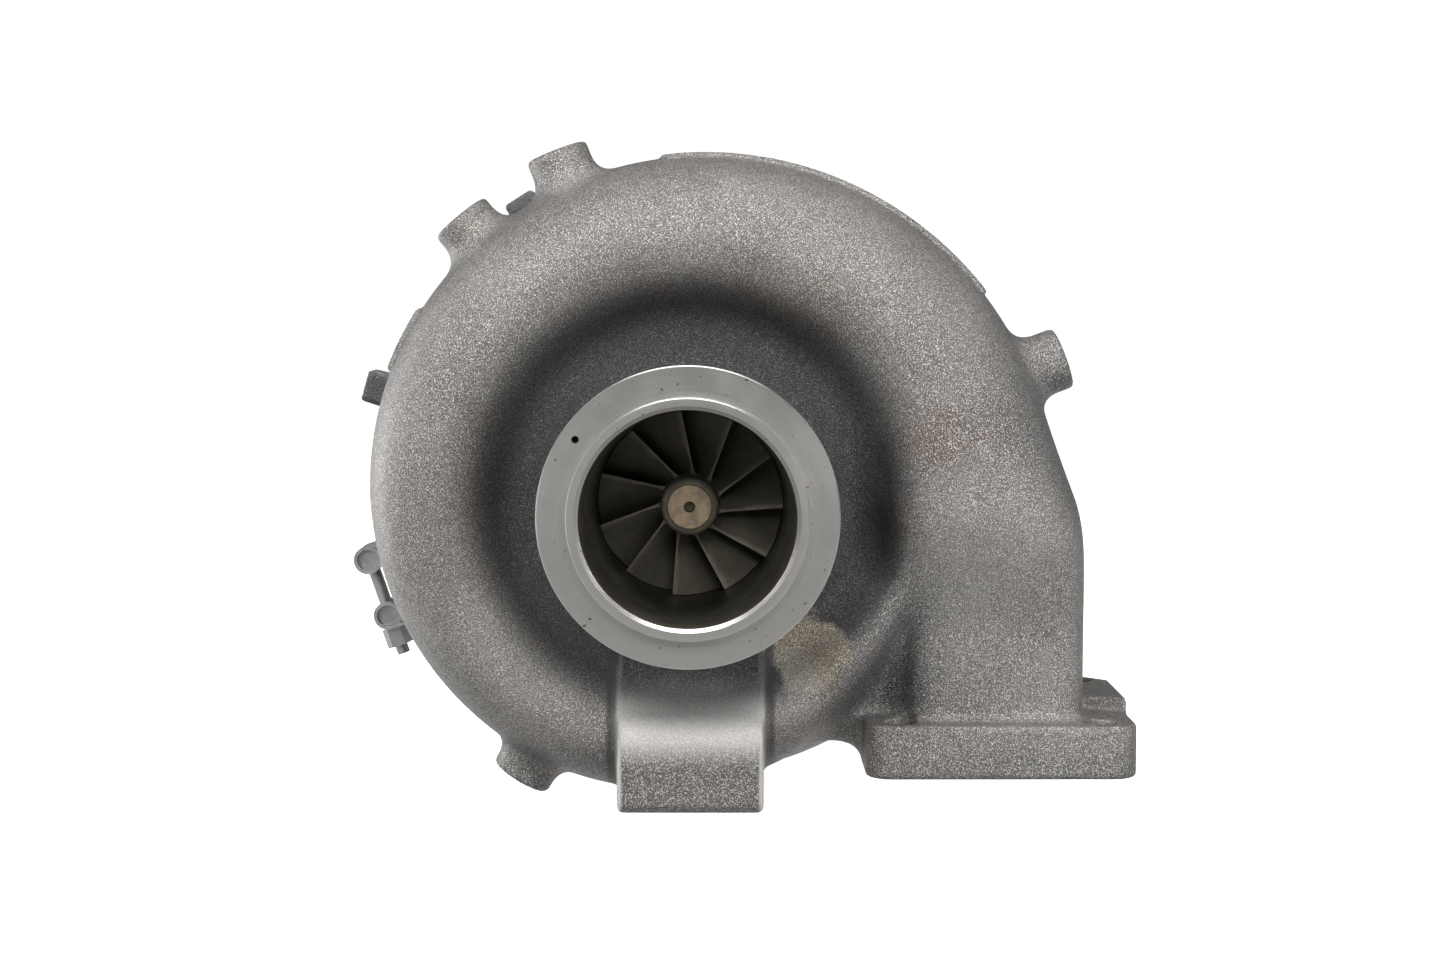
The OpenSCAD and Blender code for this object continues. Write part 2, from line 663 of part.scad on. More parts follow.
module compressor_housing() {
    pipe_y = volute_c(1)[1];
    pipe_r = outlet_passage + volute_wall;
    color(aluminium) difference() {
        union() {
            volute(volute_wall, 18);
            // Rim, shroud wall and inlet, turned about the shaft
            turned([[46, cover_y + fit_gap], [rim_r, cover_y + fit_gap],
                [rim_r, cover_y + cover_rim], [rim_r - taper_r, cover_y + cover_rim + taper_y],
                [rim_r - taper_r - 1, 216.4], [96, 216.4], [72, 224], [56, 236], [hose_r - 2, 262],
                [hose_r - 2, 266], [hose_r, 268], [hose_r, inlet_end_y - 1],
                [hose_r - 1, inlet_end_y], [30, inlet_end_y], [30, 240]]);
            // Outlet pipe along X, with a slightly thicker end for the hose
            translate([-2, pipe_y, -outlet_r]) rotate([0, 90, 0])
                cylinder(r = pipe_r - 1, h = outlet_end_x + 1, $fn = fine);
            translate([outlet_end_x - outlet_hose_length, pipe_y, -outlet_r]) rotate([0, 90, 0])
                cylinder(r = pipe_r, h = outlet_hose_length, $fn = fine);
            for (item = LUGS) clock(item[0]) lug(item[1]);
            for (a = [20, 75, 200]) clock(a) translate([60, 220, -3]) cube([36, 30, 6]);
        }
        volute(0, 14);
        translate([-4, pipe_y, -outlet_r]) rotate([0, 90, 0])
            cylinder(r = outlet_passage - 0.4, h = outlet_end_x + 6, $fn = fine);
        // Inlet, shroud and diffuser
        turned(concat(
            [[0, inlet_end_y + 1], [44.5, inlet_end_y + 1], [43, inlet_end_y - 2],
             [compressor_inducer_d / 2 + tip_gap, 262]],
            [for (k = [6:-1:0]) compressor_tip(k / 6) + [tip_gap, k == 0 ? tip_gap : 0]],
            [[diffuser_r, cover_y + diffuser_gap], [diffuser_r, cover_y - 1], [0, cover_y - 1]]));
        // Tapped holes in the lugs
        for (item = LUGS) clock(item[0]) radial_rod(3.4, item[1] - 14, item[1] + 1, lug_y);
    }
}

module cover_o_ring() {
    color(seal_black) o_ring(119.7, 207.22, 0.8);
}

// ---- Clamps ----
// Each clamp closes a pair of tapered flanges. In its own frame the bolt is on the +X side.

strap_t = 1.6;
loop_r = 6.6;
pin_r = 4.9;

// A slice of a ring between two angles
module ring_sector(r_in, r_out, y0, y1, from, to) {
    rotate([-90, 0, 0]) rotate([0, 0, -to]) translate([0, 0, y0])
        rotate_extrude(angle = to - from, $fn = fine)
            polygon([[r_in, 0], [r_out, 0], [r_out, y1 - y0], [r_in, y1 - y0]]);
}

module clamp_strap(band_r, y, half_w, out, spread, gap) {
    leg_z = spread + loop_r - strap_t;
    foot_x = sqrt(band_r * band_r - leg_z * leg_z);
    color(bright_steel) difference() {
        union() {
            ring_sector(band_r, band_r + strap_t, y - half_w, y + half_w, gap, 360 - gap);
            for (s = [-1, 1]) {
                translate([band_r + out, y - half_w, s * spread]) rotate([-90, 0, 0])
                    cylinder(r = loop_r, h = 2 * half_w, $fn = small);
                // Standing legs between the strap and the loop
                translate([foot_x, y - half_w, s > 0 ? leg_z : -leg_z - strap_t])
                    cube([band_r + out - foot_x, 2 * half_w, strap_t]);
            }
        }
        for (s = [-1, 1]) {
            translate([band_r + out, y - half_w - 1, s * spread]) rotate([-90, 0, 0])
                cylinder(r = loop_r - strap_t, h = 2 * half_w + 2, $fn = small);
        }
        // Window for the bolt through both loops
        translate([band_r + out - 8.4, y - 5, -spread - loop_r - 3])
            cube([20, 10, 2 * (spread + loop_r + 3)]);
    }
}

// Three arcs of V section inside the strap, over a pair of rims of radius r and half width rim
module clamp_segments(r, y, rim, gap) {
    span = (360 - 2 * gap) / 3 - 4;
    grip = 4.6;
    legs = [[r - grip, rim + 1.9], [r + 0.5, rim + 0.1]];
    outer = [[r + 2.4, rim + 1.4], [r - grip, rim + 3.7]];
    color(dull_steel) for (i = [0:2])
        rotate([-90, 0, 0]) rotate([0, 0, -(gap + 2 + i * (span + 4) + span)]) translate([0, 0, y])
            rotate_extrude(angle = span, $fn = fine)
            polygon([legs[0], legs[1], [legs[1][0], -legs[1][1]], [legs[0][0], -legs[0][1]],
                     [outer[1][0], -outer[1][1]], [outer[0][0], -outer[0][1]], outer[0], outer[1]]);
}

module clamp_bolt(band_r, y, half_w, out, spread) {
    length = 2 * spread + 20;
    color(bright_steel) {
        translate([band_r + out, y - half_w + 2, spread]) rotate([-90, 0, 0])
            cylinder(r = pin_r, h = 2 * half_w - 4, $fn = small);
        translate([band_r + out, y, spread]) rotate([180, 0, 0])
            cylinder(r = 3, h = length, $fn = small);
    }
}

module clamp_trunnion(band_r, y, half_w, out, spread) {
    color(dull_steel) difference() {
        translate([band_r + out, y - half_w + 2, -spread]) rotate([-90, 0, 0])
            cylinder(r = pin_r, h = 2 * half_w - 4, $fn = small);
        translate([band_r + out, y, -spread - 8]) cylinder(r = 3.3, h = 16, $fn = small);
    }
}

module clamp_nut(band_r, y, out, spread) {
    color(dull_steel) translate([band_r + out, y, -spread - loop_r - 9]) difference() {
        union() {
            cylinder(r = 6.4, h = 8.9, $fn = 6);
            translate([0, 0, 7.6]) cylinder(r = 4.8, h = 2.9, $fn = small);
        }
        translate([0, 0, -1]) cylinder(r = 3.1, h = 14, $fn = small);
    }
}

// Turbine clamp: angle round the shaft, half width, reach and spread of the bolt, half gap
t_angle = 35;
t_band = joint_r + 2.5;
t_half = 9;
t_out = 13;
t_spread = 15;
t_gap = 7;
// Compressor clamp
c_angle = 199;
c_band = rim_r + 2.5;
c_half = 9;
c_out = 20;
c_spread = 14;
c_gap = 4;

module turbine_clamp_strap() {
    clock(t_angle) clamp_strap(t_band, joint_y, t_half, t_out, t_spread, t_gap);
}

module turbine_clamp_segments() {
    clock(t_angle) clamp_segments(joint_r, joint_y, joint_rim, t_gap);
}

module turbine_clamp_bolt() {
    clock(t_angle) clamp_bolt(t_band, joint_y, t_half, t_out, t_spread);
}

module turbine_clamp_trunnion() {
    clock(t_angle) clamp_trunnion(t_band, joint_y, t_half, t_out, t_spread);
}

module turbine_clamp_nut() {
    clock(t_angle) clamp_nut(t_band, joint_y, t_out, t_spread);
}

module compressor_clamp_strap() {
    clock(c_angle) clamp_strap(c_band, cover_y, c_half, c_out, c_spread, c_gap);
}

module compressor_clamp_segments() {
    clock(c_angle) clamp_segments(rim_r, cover_y, cover_rim, c_gap);
}

module compressor_clamp_bolt() {
    clock(c_angle) mirror([0, 0, 1]) clamp_bolt(c_band, cover_y, c_half, c_out, c_spread);
}

module compressor_clamp_trunnion() {
    clock(c_angle) mirror([0, 0, 1]) clamp_trunnion(c_band, cover_y, c_half, c_out, c_spread);
}

module compressor_clamp_nut() {
    clock(c_angle) mirror([0, 0, 1]) clamp_nut(c_band, cover_y, c_out, c_spread);
}

turbine_housing();
turbine_wheel();
rotor_shaft();
heat_shield();
turbine_seal_ring();
bearing_housing();
locating_dowel();
turbine_end_bush();
compressor_end_bush();
bush_retaining_rings();
thrust_collar();
thrust_bearing();
thrust_bearing_screws();
oil_flinger();
oil_seal_plate();
seal_plate_o_ring();
seal_plate_snap_ring();
compressor_seal_ring();
compressor_backplate();
backplate_o_ring();
backplate_screws();
compressor_wheel();
compressor_locknut();
compressor_housing();
cover_o_ring();
turbine_clamp_strap();
turbine_clamp_segments();
turbine_clamp_bolt();
turbine_clamp_trunnion();
turbine_clamp_nut();
compressor_clamp_strap();
compressor_clamp_segments();
compressor_clamp_bolt();
compressor_clamp_trunnion();
compressor_clamp_nut();
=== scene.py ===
"""A turbocharger seen from its turbine outlet.

Shapes are worked out in millimetres in the CAD frame and become meshes in metres.
The shaft lies along Y, and the origin is in the pilot ring's front face.
"""

import json
import math

import bmesh
import bpy
import numpy as np
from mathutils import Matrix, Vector


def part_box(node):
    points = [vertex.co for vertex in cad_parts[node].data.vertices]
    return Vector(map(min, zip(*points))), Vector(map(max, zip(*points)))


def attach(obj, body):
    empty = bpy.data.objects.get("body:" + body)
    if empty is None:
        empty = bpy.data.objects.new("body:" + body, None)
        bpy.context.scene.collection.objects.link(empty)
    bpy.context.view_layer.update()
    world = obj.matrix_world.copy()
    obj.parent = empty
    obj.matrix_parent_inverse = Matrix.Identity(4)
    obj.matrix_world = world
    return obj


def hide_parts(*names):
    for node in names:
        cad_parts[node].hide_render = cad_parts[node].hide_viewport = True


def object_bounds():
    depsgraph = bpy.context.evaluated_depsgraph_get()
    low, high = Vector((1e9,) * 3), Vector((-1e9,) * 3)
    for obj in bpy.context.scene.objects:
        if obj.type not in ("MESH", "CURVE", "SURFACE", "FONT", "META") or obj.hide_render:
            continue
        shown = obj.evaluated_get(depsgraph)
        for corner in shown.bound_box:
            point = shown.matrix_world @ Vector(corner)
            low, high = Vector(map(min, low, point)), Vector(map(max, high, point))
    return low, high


MM = 0.001

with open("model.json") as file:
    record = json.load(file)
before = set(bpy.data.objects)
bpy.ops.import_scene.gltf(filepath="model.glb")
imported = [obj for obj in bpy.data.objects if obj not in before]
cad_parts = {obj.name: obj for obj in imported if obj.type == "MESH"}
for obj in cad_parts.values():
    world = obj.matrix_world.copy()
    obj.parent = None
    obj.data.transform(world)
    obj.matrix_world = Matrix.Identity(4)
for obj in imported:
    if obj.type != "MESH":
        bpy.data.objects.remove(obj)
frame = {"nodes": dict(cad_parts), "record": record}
cad_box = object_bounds()
MOUNTS = {m["name"]: m for m in frame["record"]["mounts"]}


def mount_place(name):
    """Where a mount lies and which way it points, in millimetres."""
    m = MOUNTS[name]
    return np.array(m["pos_m"]) / MM, np.array(m["axis"], float)


def size_of(name, key):
    return MOUNTS[name]["dims"][key]


def corner_box(node):
    """Lowest and highest corner of a CAD node, in millimetres."""
    low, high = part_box(node)
    return np.array(low) / MM, np.array(high) / MM


# ---- Sizes, in millimetres ----

# Turbine housing: outlet ring with its pilot, bore and neck, and the joint with the bearing housing
HOUSING_LOW, HOUSING_HIGH = corner_box("turbine_housing")
PILOT_R = size_of("turbine_outlet", "r_mm")
PILOT_H = size_of("turbine_outlet", "length_mm")
OUTLET_R = 60.0
BORE_R = 42.9
NECK_R = 50.0
NECK_START_Y = 12
JOINT_Y = HOUSING_HIGH[1]
# Locating hole in the ring's face: radius and angle
PIN_R, PIN_ANGLE = 1.5, 145

# Inlet flange and the four studs of the manifold
INLET_POS, _ = mount_place("turbine_inlet_bolts")
STUD_HOLE_R = size_of("turbine_inlet_bolts", "hole_r_mm")
STUD_X, STUD_Y = size_of("turbine_inlet_bolts", "spacing_x_mm"), size_of("turbine_inlet_bolts", "spacing_y_mm")
FLANGE_X, FLANGE_Y, FLANGE_H = 115.0, 97.0, 23
FLANGE_BOTTOM = INLET_POS[2]
FLANGE_TOP = FLANGE_BOTTOM + FLANGE_H

# Scroll: outer and inner radius, centre and half depth of its section, and the angles where
# its wall and its gas passage end
SCROLL_R, SCROLL_IN, SCROLL_Y, SCROLL_B = 158.6, 78.0, 108.0, 44.0
SCROLL_END, PASSAGE_END = 352.0, 320.0
VALLEY_Y = 88.0
WALL, DIVIDER = 7.0, 5.0
# Inlet column: inner and outer side, centre and half depth of its section
COLUMN_IN, COLUMN_OUT, COLUMN_Y, COLUMN_B = 92.0, 168.6, 116.0, 39.0
# Raised lands on the scroll's rim: start and end angles, and height
RIM_LANDS, RIM_LAND_H = ((35, 95), (145, 157)), 1.2

# Foot: half width and underside. Bosses: numbers of their mounts, radius, length and tapped hole.
FOOT_HALF = 31.0
FOOT_BOTTOM = HOUSING_LOW[2]
BOSSES = range(1, 5)
BOSS_R, BOSS_L = 13.5, 34
BOSS_HOLE_R = size_of("shield_boss_1", "r_mm")

# Turbine wheel: where the blades start, where they reach full width and where the back is, their tip
# radius at the outlet and at full width, their number, and the angle of the first one
EXDUCER_Y, INDUCER_Y, WHEEL_BACK_Y = 73.0, 98.0, 112.0
EXDUCER_R, INDUCER_R = 38.9, 43.0
BLADES, FIRST_BLADE = 11, -2.3
# Gap between either wheel's blade tips and its housing
TIP_GAP = 0.4

# Compressor wheel: blade tips at the eye and at the outlet
EYE_R, EYE_Y = 38, 246.0
OUT_R, OUT_Y = 54, 214.0
FULL_BLADES = 7

# Fineness of the grids that the castings are made on, and the space kept round them
CASTING_STEP, COVER_STEP, MARGIN = 1.2, 1.25, 3


# ---- Solid shapes as distances on a grid ----


class Block:
    """A block of space that holds the distance to a shape's surface at each grid point, negative inside."""

    def __init__(self, low, high, step):
        count = [int(math.ceil((h - l) / step)) + 1 for l, h in zip(low, high)]
        axes = [l + step * np.arange(n, dtype=np.float32) for l, n in zip(low, count)]
        self.x, self.y, self.z = axes[0][:, None, None], axes[1][None, None], axes[2][None, :, None]
        self.step, self.low = step, low
        self.d = np.full((count[0], count[2], count[1]), 1e3, np.float32)

    def near(self, low, high):
        """The part of the block between two corners, which shares its distances."""
        cut = []
        for axis, l, h in zip((self.x.ravel(), self.z.ravel(), self.y.ravel()), [low[0], low[2], low[1]],
                              [high[0], high[2], high[1]]):
            cut.append(slice(int(np.searchsorted(axis, l)), int(np.searchsorted(axis, h))))
        part = object.__new__(Block)
        part.x, part.z, part.y = self.x[cut[0]], self.z[:, cut[1]], self.y[:, :, cut[2]]
        part.step, part.low, part.d = self.step, self.low, self.d[tuple(cut)]
        return part

    def add(self, shape, fillet=0.0):
        self.d[...] = merged(self.d, shape, fillet)

    def cut(self, shape, fillet=0.0):
        self.d[...] = -merged(-self.d, shape, fillet)


def merged(a, b, fillet):
    """Two shapes as one, with the inner corner between them rounded."""
    low = np.minimum(a, b)
    if fillet:
        near = np.maximum(fillet - np.abs(a - b), 0)
        low = low - near * near / (4 * fillet)
    return low


def outline_distance(u, v, points):
    """Distance of the points (u, v) to a closed outline, negative inside it."""
    best = np.full(np.broadcast(u, v).shape, 1e9)
    inside = np.zeros(best.shape, bool)
    for (ax, ay), (bx, by) in zip(points, points[1:] + points[:1]):
        ex, ey = bx - ax, by - ay
        t = np.clip(((u - ax) * ex + (v - ay) * ey) / (ex * ex + ey * ey), 0, 1)
        best = np.minimum(best, (u - ax - t * ex) ** 2 + (v - ay - t * ey) ** 2)
        if ey:
            inside ^= ((ay > v) != (by > v)) & (u < ax + (v - ay) * ex / ey)
    return np.where(inside, -1, 1) * np.sqrt(best)


def arc(centre, r, start, end, steps=8):
    """Points of an arc, between two angles in degrees."""
    turn = np.radians(np.linspace(start, end, steps + 1))
    return [(centre[0] + r * math.cos(t), centre[1] + r * math.sin(t)) for t in turn]


def turned_shape(b, profile):
    """A profile of (radius, y) points turned about the shaft."""
    r = np.hypot(b.x, b.z)[:, :, 0]
    fine = b.step / 2
    table = outline_distance(np.arange(0, r.max() + 2 * fine, fine)[:, None], b.y[0], profile).astype(np.float32)
    place = r / fine
    below = place.astype(int)
    share = (place - below).astype(np.float32)[:, :, None]
    return table[below] * (1 - share) + table[below + 1] * share


def both(across, along, edge):
    """What lies inside two distances at once, with its outer corners rounded."""
    a, b = across + edge, along + edge
    return np.minimum(np.maximum(a, b), 0) + np.hypot(np.maximum(a, 0), np.maximum(b, 0)) - edge


def box_shape(b, low, high, corner, edge):
    """A box whose upright corners and whose edges are rounded."""
    mid, half = (np.add(low, high)) / 2, (np.subtract(high, low)) / 2
    u = np.abs(b.x - mid[0]) - half[0] + corner
    v = np.abs(b.y - mid[1]) - half[1] + corner
    across = np.minimum(np.maximum(u, v), 0) + np.hypot(np.maximum(u, 0), np.maximum(v, 0)) - corner
    return both(across, np.abs(b.z - mid[2]) - half[2], edge)


def rod_shape(b, end, axis, r, length, edge):
    """A round rod that ends at a point and runs back from it against its axis."""
    u, v, w = b.x - end[0], b.y - end[1], b.z - end[2]
    along = u * axis[0] + v * axis[1] + w * axis[2]
    across = np.sqrt(np.maximum(u * u + v * v + w * w - along * along, 0)) - r
    return both(across, np.abs(along + length / 2) - length / 2, edge)


def surface(b):
    """Points and quads on the surface of the block's shape: one point in each cell that the surface crosses."""
    d, inside = b.d, b.d < 0
    core = tuple(n - 1 for n in d.shape)
    corners = [(i, j, k) for i in (0, 1) for j in (0, 1) for k in (0, 1)]
    shifted = {c: inside[c[0]:c[0] + core[0], c[1]:c[1] + core[1], c[2]:c[2] + core[2]] for c in corners}
    count = sum(s.astype(np.uint8) for s in shifted.values())
    cells = np.argwhere((count > 0) & (count < 8))
    total, crossings = np.zeros((len(cells), 3)), np.zeros(len(cells))
    for c in corners:
        for axis in range(3):
            if c[axis]:
                continue
            e = list(c)
            e[axis] = 1
            one = d[cells[:, 0] + c[0], cells[:, 1] + c[1], cells[:, 2] + c[2]]
            two = d[cells[:, 0] + e[0], cells[:, 1] + e[1], cells[:, 2] + e[2]]
            hit = (one < 0) != (two < 0)
            t = one[hit] / (one[hit] - two[hit])
            spot = np.tile(np.array(c, float), (hit.sum(), 1))
            spot[:, axis] += t
            total[hit] += spot
            crossings[hit] += 1
    points = cells + total / crossings[:, None]
    number = np.full(core, -1, np.int64)
    number[tuple(cells.T)] = np.arange(len(cells))
    quads = []
    for axis in range(3):
        one = [slice(1, -1)] * 3
        two = [slice(1, -1)] * 3
        one[axis], two[axis] = slice(0, -1), slice(1, None)
        a, c = inside[tuple(one)], inside[tuple(two)]
        for turned_over, mask in ((False, a & ~c), (True, ~a & c)):
            at = np.argwhere(mask) + [0 if k == axis else 1 for k in range(3)]
            j, k = [v for v in range(3) if v != axis]
            ring = []
            for dj, dk in ((0, 0), (1, 0), (1, 1), (0, 1)):
                cell = at.copy()
                cell[:, j] -= dj
                cell[:, k] -= dk
                ring.append(number[tuple(cell.T)])
            quad = np.stack(ring, 1)
            quads.append(quad[:, ::-1] if turned_over == (axis == 1) else quad)
    quads = np.concatenate(quads)[:, ::-1]
    places = np.array(b.low)[[0, 2, 1]] + b.step * points
    return places[:, [0, 2, 1]], quads


def new_mesh(name, points, faces, body, slot, replaced=(), sharp=None):
    """An object from points in millimetres and faces, which rides on a body. Edges over the sharp angle stay sharp.

    It stays inside the box of the CAD node that it replaces.
    """
    if replaced:
        points = np.clip(np.asarray(points, float), *corner_box(replaced[0]))
    mesh = bpy.data.meshes.new(name)
    mesh.from_pydata((np.asarray(points) * MM).tolist(), [], [list(map(int, f)) for f in faces])
    mesh.validate()
    piece = bpy.data.objects.new(name, mesh)
    bpy.context.collection.objects.link(piece)
    work = bmesh.new()
    work.from_mesh(mesh)
    bmesh.ops.recalc_face_normals(work, faces=work.faces)
    for face in work.faces:
        face.smooth = True
    if sharp is not None:
        limit = math.radians(sharp)
        for edge in work.edges:
            edge.smooth = len(edge.link_faces) == 2 and edge.calc_face_angle(0) < limit
    work.to_mesh(mesh)
    work.free()
    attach(piece, body)
    if replaced:
        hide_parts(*replaced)
    return piece


def relax(points, faces, rounds):
    """Evens out a grid surface by moving each point towards the middle of its neighbours and half the way back."""
    a, b = faces.ravel(), np.roll(faces, 1, axis=1).ravel()
    for share in [0.5, -0.5] * rounds:
        total, count = np.zeros_like(points), np.zeros(len(points))
        for one, two in ((a, b), (b, a)):
            for axis in range(3):
                total[:, axis] += np.bincount(one, points[two, axis], len(points))
            count += np.bincount(one, minlength=len(points))
        points = points + share * (total / count[:, None] - points)
    return points


# ---- Turbine housing ----


def mix(a, b, t):
    return a + (b - a) * t


def spiral_r(a):
    """Outer radius of the scroll at an angle: it shrinks evenly, dips over the top and drops off at its end."""
    top = np.maximum(0, np.sin(np.radians(a)))
    start, end = np.maximum(0, 1 - a / 14), np.maximum(0, a - 235)
    return SCROLL_R - 0.11 * a - 2.2 * top + 6.5 * start ** 2 - 0.0019 * end ** 2


def scroll_sizes(a):
    """Inner and outer radius, centre, half depth and roundness of the scroll's section at an angle."""
    close = np.maximum(0, a - 315)
    return (SCROLL_IN + 0.32 * close, spiral_r(a) + 0.18 * close, SCROLL_Y + 0 * a,
            SCROLL_B - 0.03 * a - 0.12 * close, 2 + np.maximum(0, 1 - a / 25))


def column_sizes(z):
    """The same for the inlet column at a height below the shaft."""
    t = np.clip(-z / 60, 0, 1)
    q = t * t * (3 - 2 * t)
    rise = 1 - np.maximum(0, 1 + z / 30) ** 3
    return (mix(SCROLL_IN, COLUMN_IN, q), mix(spiral_r(0.0), COLUMN_OUT, rise), mix(SCROLL_Y, COLUMN_Y, q),
            mix(SCROLL_B, COLUMN_B, q), mix(3.0, 6.5, q))


def oval(across, y, sizes):
    """Rough distance to a rounded section."""
    inner, outer, centre, depth, power = [np.asarray(s, np.float32) for s in sizes]
    half = (outer - inner) / 2
    u, v = np.abs(across - (inner + outer) / 2) / half, np.abs(y - centre) / depth
    u, v = np.maximum(u, 1e-4), np.maximum(v, 1e-4)
    reach = (u ** power + v ** power) ** (1 / power)
    slope = np.hypot((u / reach) ** (power - 1) / half, (v / reach) ** (power - 1) / depth)
    return (reach - 1) / slope


def scroll_shapes(b):
    """The scroll with the column, and the scroll's closing half, which lies below the shaft."""
    angle = np.degrees(np.arctan2(b.z, b.x)) % 360
    r = np.hypot(b.x, b.z)
    spiral = oval(r, b.y, scroll_sizes(np.minimum(angle, 358)))
    column = oval(b.x, b.y, column_sizes(b.z))
    below, right = b.z < 0, b.x > 0
    first = np.where(below, np.where(right, column, 1e3), spiral)
    last = np.where(below, np.maximum(spiral, np.radians(angle - SCROLL_END) * r), 1e3)
    return first, last, angle


def hub_profile():
    """Neck behind the outlet ring, valley floor and rear flange."""
    return [(0, 14), (NECK_R + 1, 14), (NECK_R + 1, 40), *arc((NECK_R + 12, VALLEY_Y - 12), 12, 180, 90),
            (SCROLL_IN + 14, VALLEY_Y), (SCROLL_IN + 14, 130), (67.5, 139), (67.5, 150), (68.5, 151),
            (74, 153), (74, JOINT_Y), (0, JOINT_Y)]


def tip_r(y):
    """Radius of the turbine blades' tips."""
    return EXDUCER_R + (INDUCER_R - EXDUCER_R) * np.clip((y - 85) / 13, 0, 1) ** 2


def bore_line():
    """Inner outline of the outlet sleeve, from its mouth to the nozzle."""
    return [(BORE_R, 1.5), (39.3, 70)] + [(tip_r(y) + TIP_GAP, y) for y in np.arange(74, INDUCER_Y, 2.0)]


def foot_profile():
    """The foot's outline in the YZ plane."""
    return [(140, -42), (140, FOOT_BOTTOM), (67, FOOT_BOTTOM), (64, FOOT_BOTTOM + 3),
            *arc((82, -104), 18, 180, 125), *arc((56.8, -68), 26, -55, 0), (82.8, -42)]


# Outline in the XZ plane of the saddle between the end of the scroll, the column and the flange
SADDLE = [(56, -88), (57, -101), (66, -105.5), (78, -112), (96, -112), (96, -52), (80, -60)]


def housing_surface():
    """The casting without the machined ring and bore: scroll, column, flange, foot and bosses."""
    low = [HOUSING_LOW[0] - MARGIN, NECK_START_Y, HOUSING_LOW[2] - MARGIN]
    b = Block(low, list(HOUSING_HIGH + MARGIN), CASTING_STEP)
    first, last, angle = scroll_shapes(b)
    b.add(np.maximum(first, FLANGE_BOTTOM + 4 - b.z))
    b.add(last, 9)
    b.add(turned_shape(b, hub_profile()), 12)

    add_foot(b)
    add_saddle(b)
    add_flange(b)
    add_bosses(b)
    add_rim_lands(b, angle)
    cut_gas_passages(b, first, last, angle)
    cut_bore(b)
    cut_screw_holes(b)
    return surface(b)


def add_foot(b):
    """The foot that stands out below the neck."""
    foot = b.near([-FOOT_HALF - 12, 40, b.low[2]], [FOOT_HALF + 12, 150, -34])
    side = outline_distance(foot.y[0, 0][None, :], foot.z[0, :, 0][:, None], foot_profile())[None]
    foot.add(both(side.astype(np.float32), np.abs(foot.x) - FOOT_HALF, 2.6), 3)


def add_saddle(b):
    """Fills the gap between the end of the scroll, the column and the flange."""
    part = b.near([34, 74, b.low[2]], [118, 166, -30])
    across = outline_distance(part.x[:, :, 0], part.z[0, :, 0][None, :], SADDLE)[:, :, None]
    part.add(both(across.astype(np.float32), np.abs(part.y - 120) - 26, 6), 14)


def add_flange(b):
    """Inlet flange, with a raised land over its rear bolt."""
    x0, x1 = INLET_POS[0] - FLANGE_X / 2, INLET_POS[0] + FLANGE_X / 2
    y0, y1 = INLET_POS[1] - FLANGE_Y / 2, INLET_POS[1] + FLANGE_Y / 2
    part = b.near([x0 - 12, y0 - 12, b.low[2]], [x1 + 3, y1 + 12, -60])
    part.add(box_shape(part, [x0, y0, FLANGE_BOTTOM], [x1, y1, FLANGE_TOP], 10, 1.6), 6)
    land = [(148, INLET_POS[1] + 4), (x1, INLET_POS[1] - 14), (x1, y1 - 12), (x1 - 12, y1), (148, y1)]
    across = outline_distance(part.x[:, :, 0], part.y[0], land)[:, None, :].astype(np.float32)
    part.add(both(across, np.abs(part.z - FLANGE_TOP) - 6, 1.2), 1.5)


def add_bosses(b):
    """Round bosses that stand out of the scroll, where the mounts are."""
    for i in BOSSES:
        end, axis = mount_place(f"shield_boss_{i}")
        root = end - BOSS_L * axis
        boss = b.near(np.minimum(end, root) - 26, np.maximum(end, root) + 26)
        boss.add(rod_shape(boss, end, axis, BOSS_R, BOSS_L, 1.8), 9)


def add_rim_lands(b, angle):
    """Low bands on the scroll's rim."""
    r = np.hypot(b.x, b.z)
    for start, end in RIM_LANDS:
        span = np.abs(angle - (start + end) / 2) - (end - start) / 2
        band = both(np.radians(span) * r, np.abs(b.y - SCROLL_Y - 4) - 14, 0.5)
        b.add(np.maximum(band, r - spiral_r(angle) - RIM_LAND_H), 0.8)


def cut_gas_passages(b, first, last, angle):
    """Hollows out the scroll and the column, on both sides of the divider."""
    column = np.where(b.z < 0, np.where(b.x > 0, oval(b.x, b.y, column_sizes(b.z)), 1e3), first)
    hollow = merged(column, np.where(angle < PASSAGE_END, last, 1e3), 0) + WALL
    centre = np.where((b.z < 0) & (b.x > 0), column_sizes(b.z)[2], SCROLL_Y)
    b.cut(np.maximum(hollow, DIVIDER / 2 - np.abs(b.y - centre)), 1.5)


def cut_bore(b):
    """Room for the outlet sleeve, the nozzle and the bearing housing's seat."""
    past = JOINT_Y + 9
    bore = [(0, 0), (46, 0), (41.5, 68), (41.5, 84), (46, 97), (92, 99), (92, 111), (53, WHEEL_BACK_Y),
            (53, 121), (62, 121), (62, past), (0, past)]
    b.cut(turned_shape(b, bore))


def cut_screw_holes(b):
    """Tapped holes of the bosses and stud holes of the flange."""
    for i in BOSSES:
        end, axis = mount_place(f"shield_boss_{i}")
        hole = b.near(end - 20, end + 20)
        hole.cut(rod_shape(hole, end + 2 * axis, axis, BOSS_HOLE_R, 14, 0))
    for sx in (-1, 1):
        for sy in (-1, 1):
            x, y = INLET_POS[0] + sx * STUD_X / 2, INLET_POS[1] + sy * STUD_Y / 2
            hole = b.near([x - 12, y - 12, b.low[2]], [x + 12, y + 12, -60])
            hole.cut(rod_shape(hole, [x, y, FLANGE_TOP + 20], [0, 0, 1], STUD_HOLE_R, 50, 0))


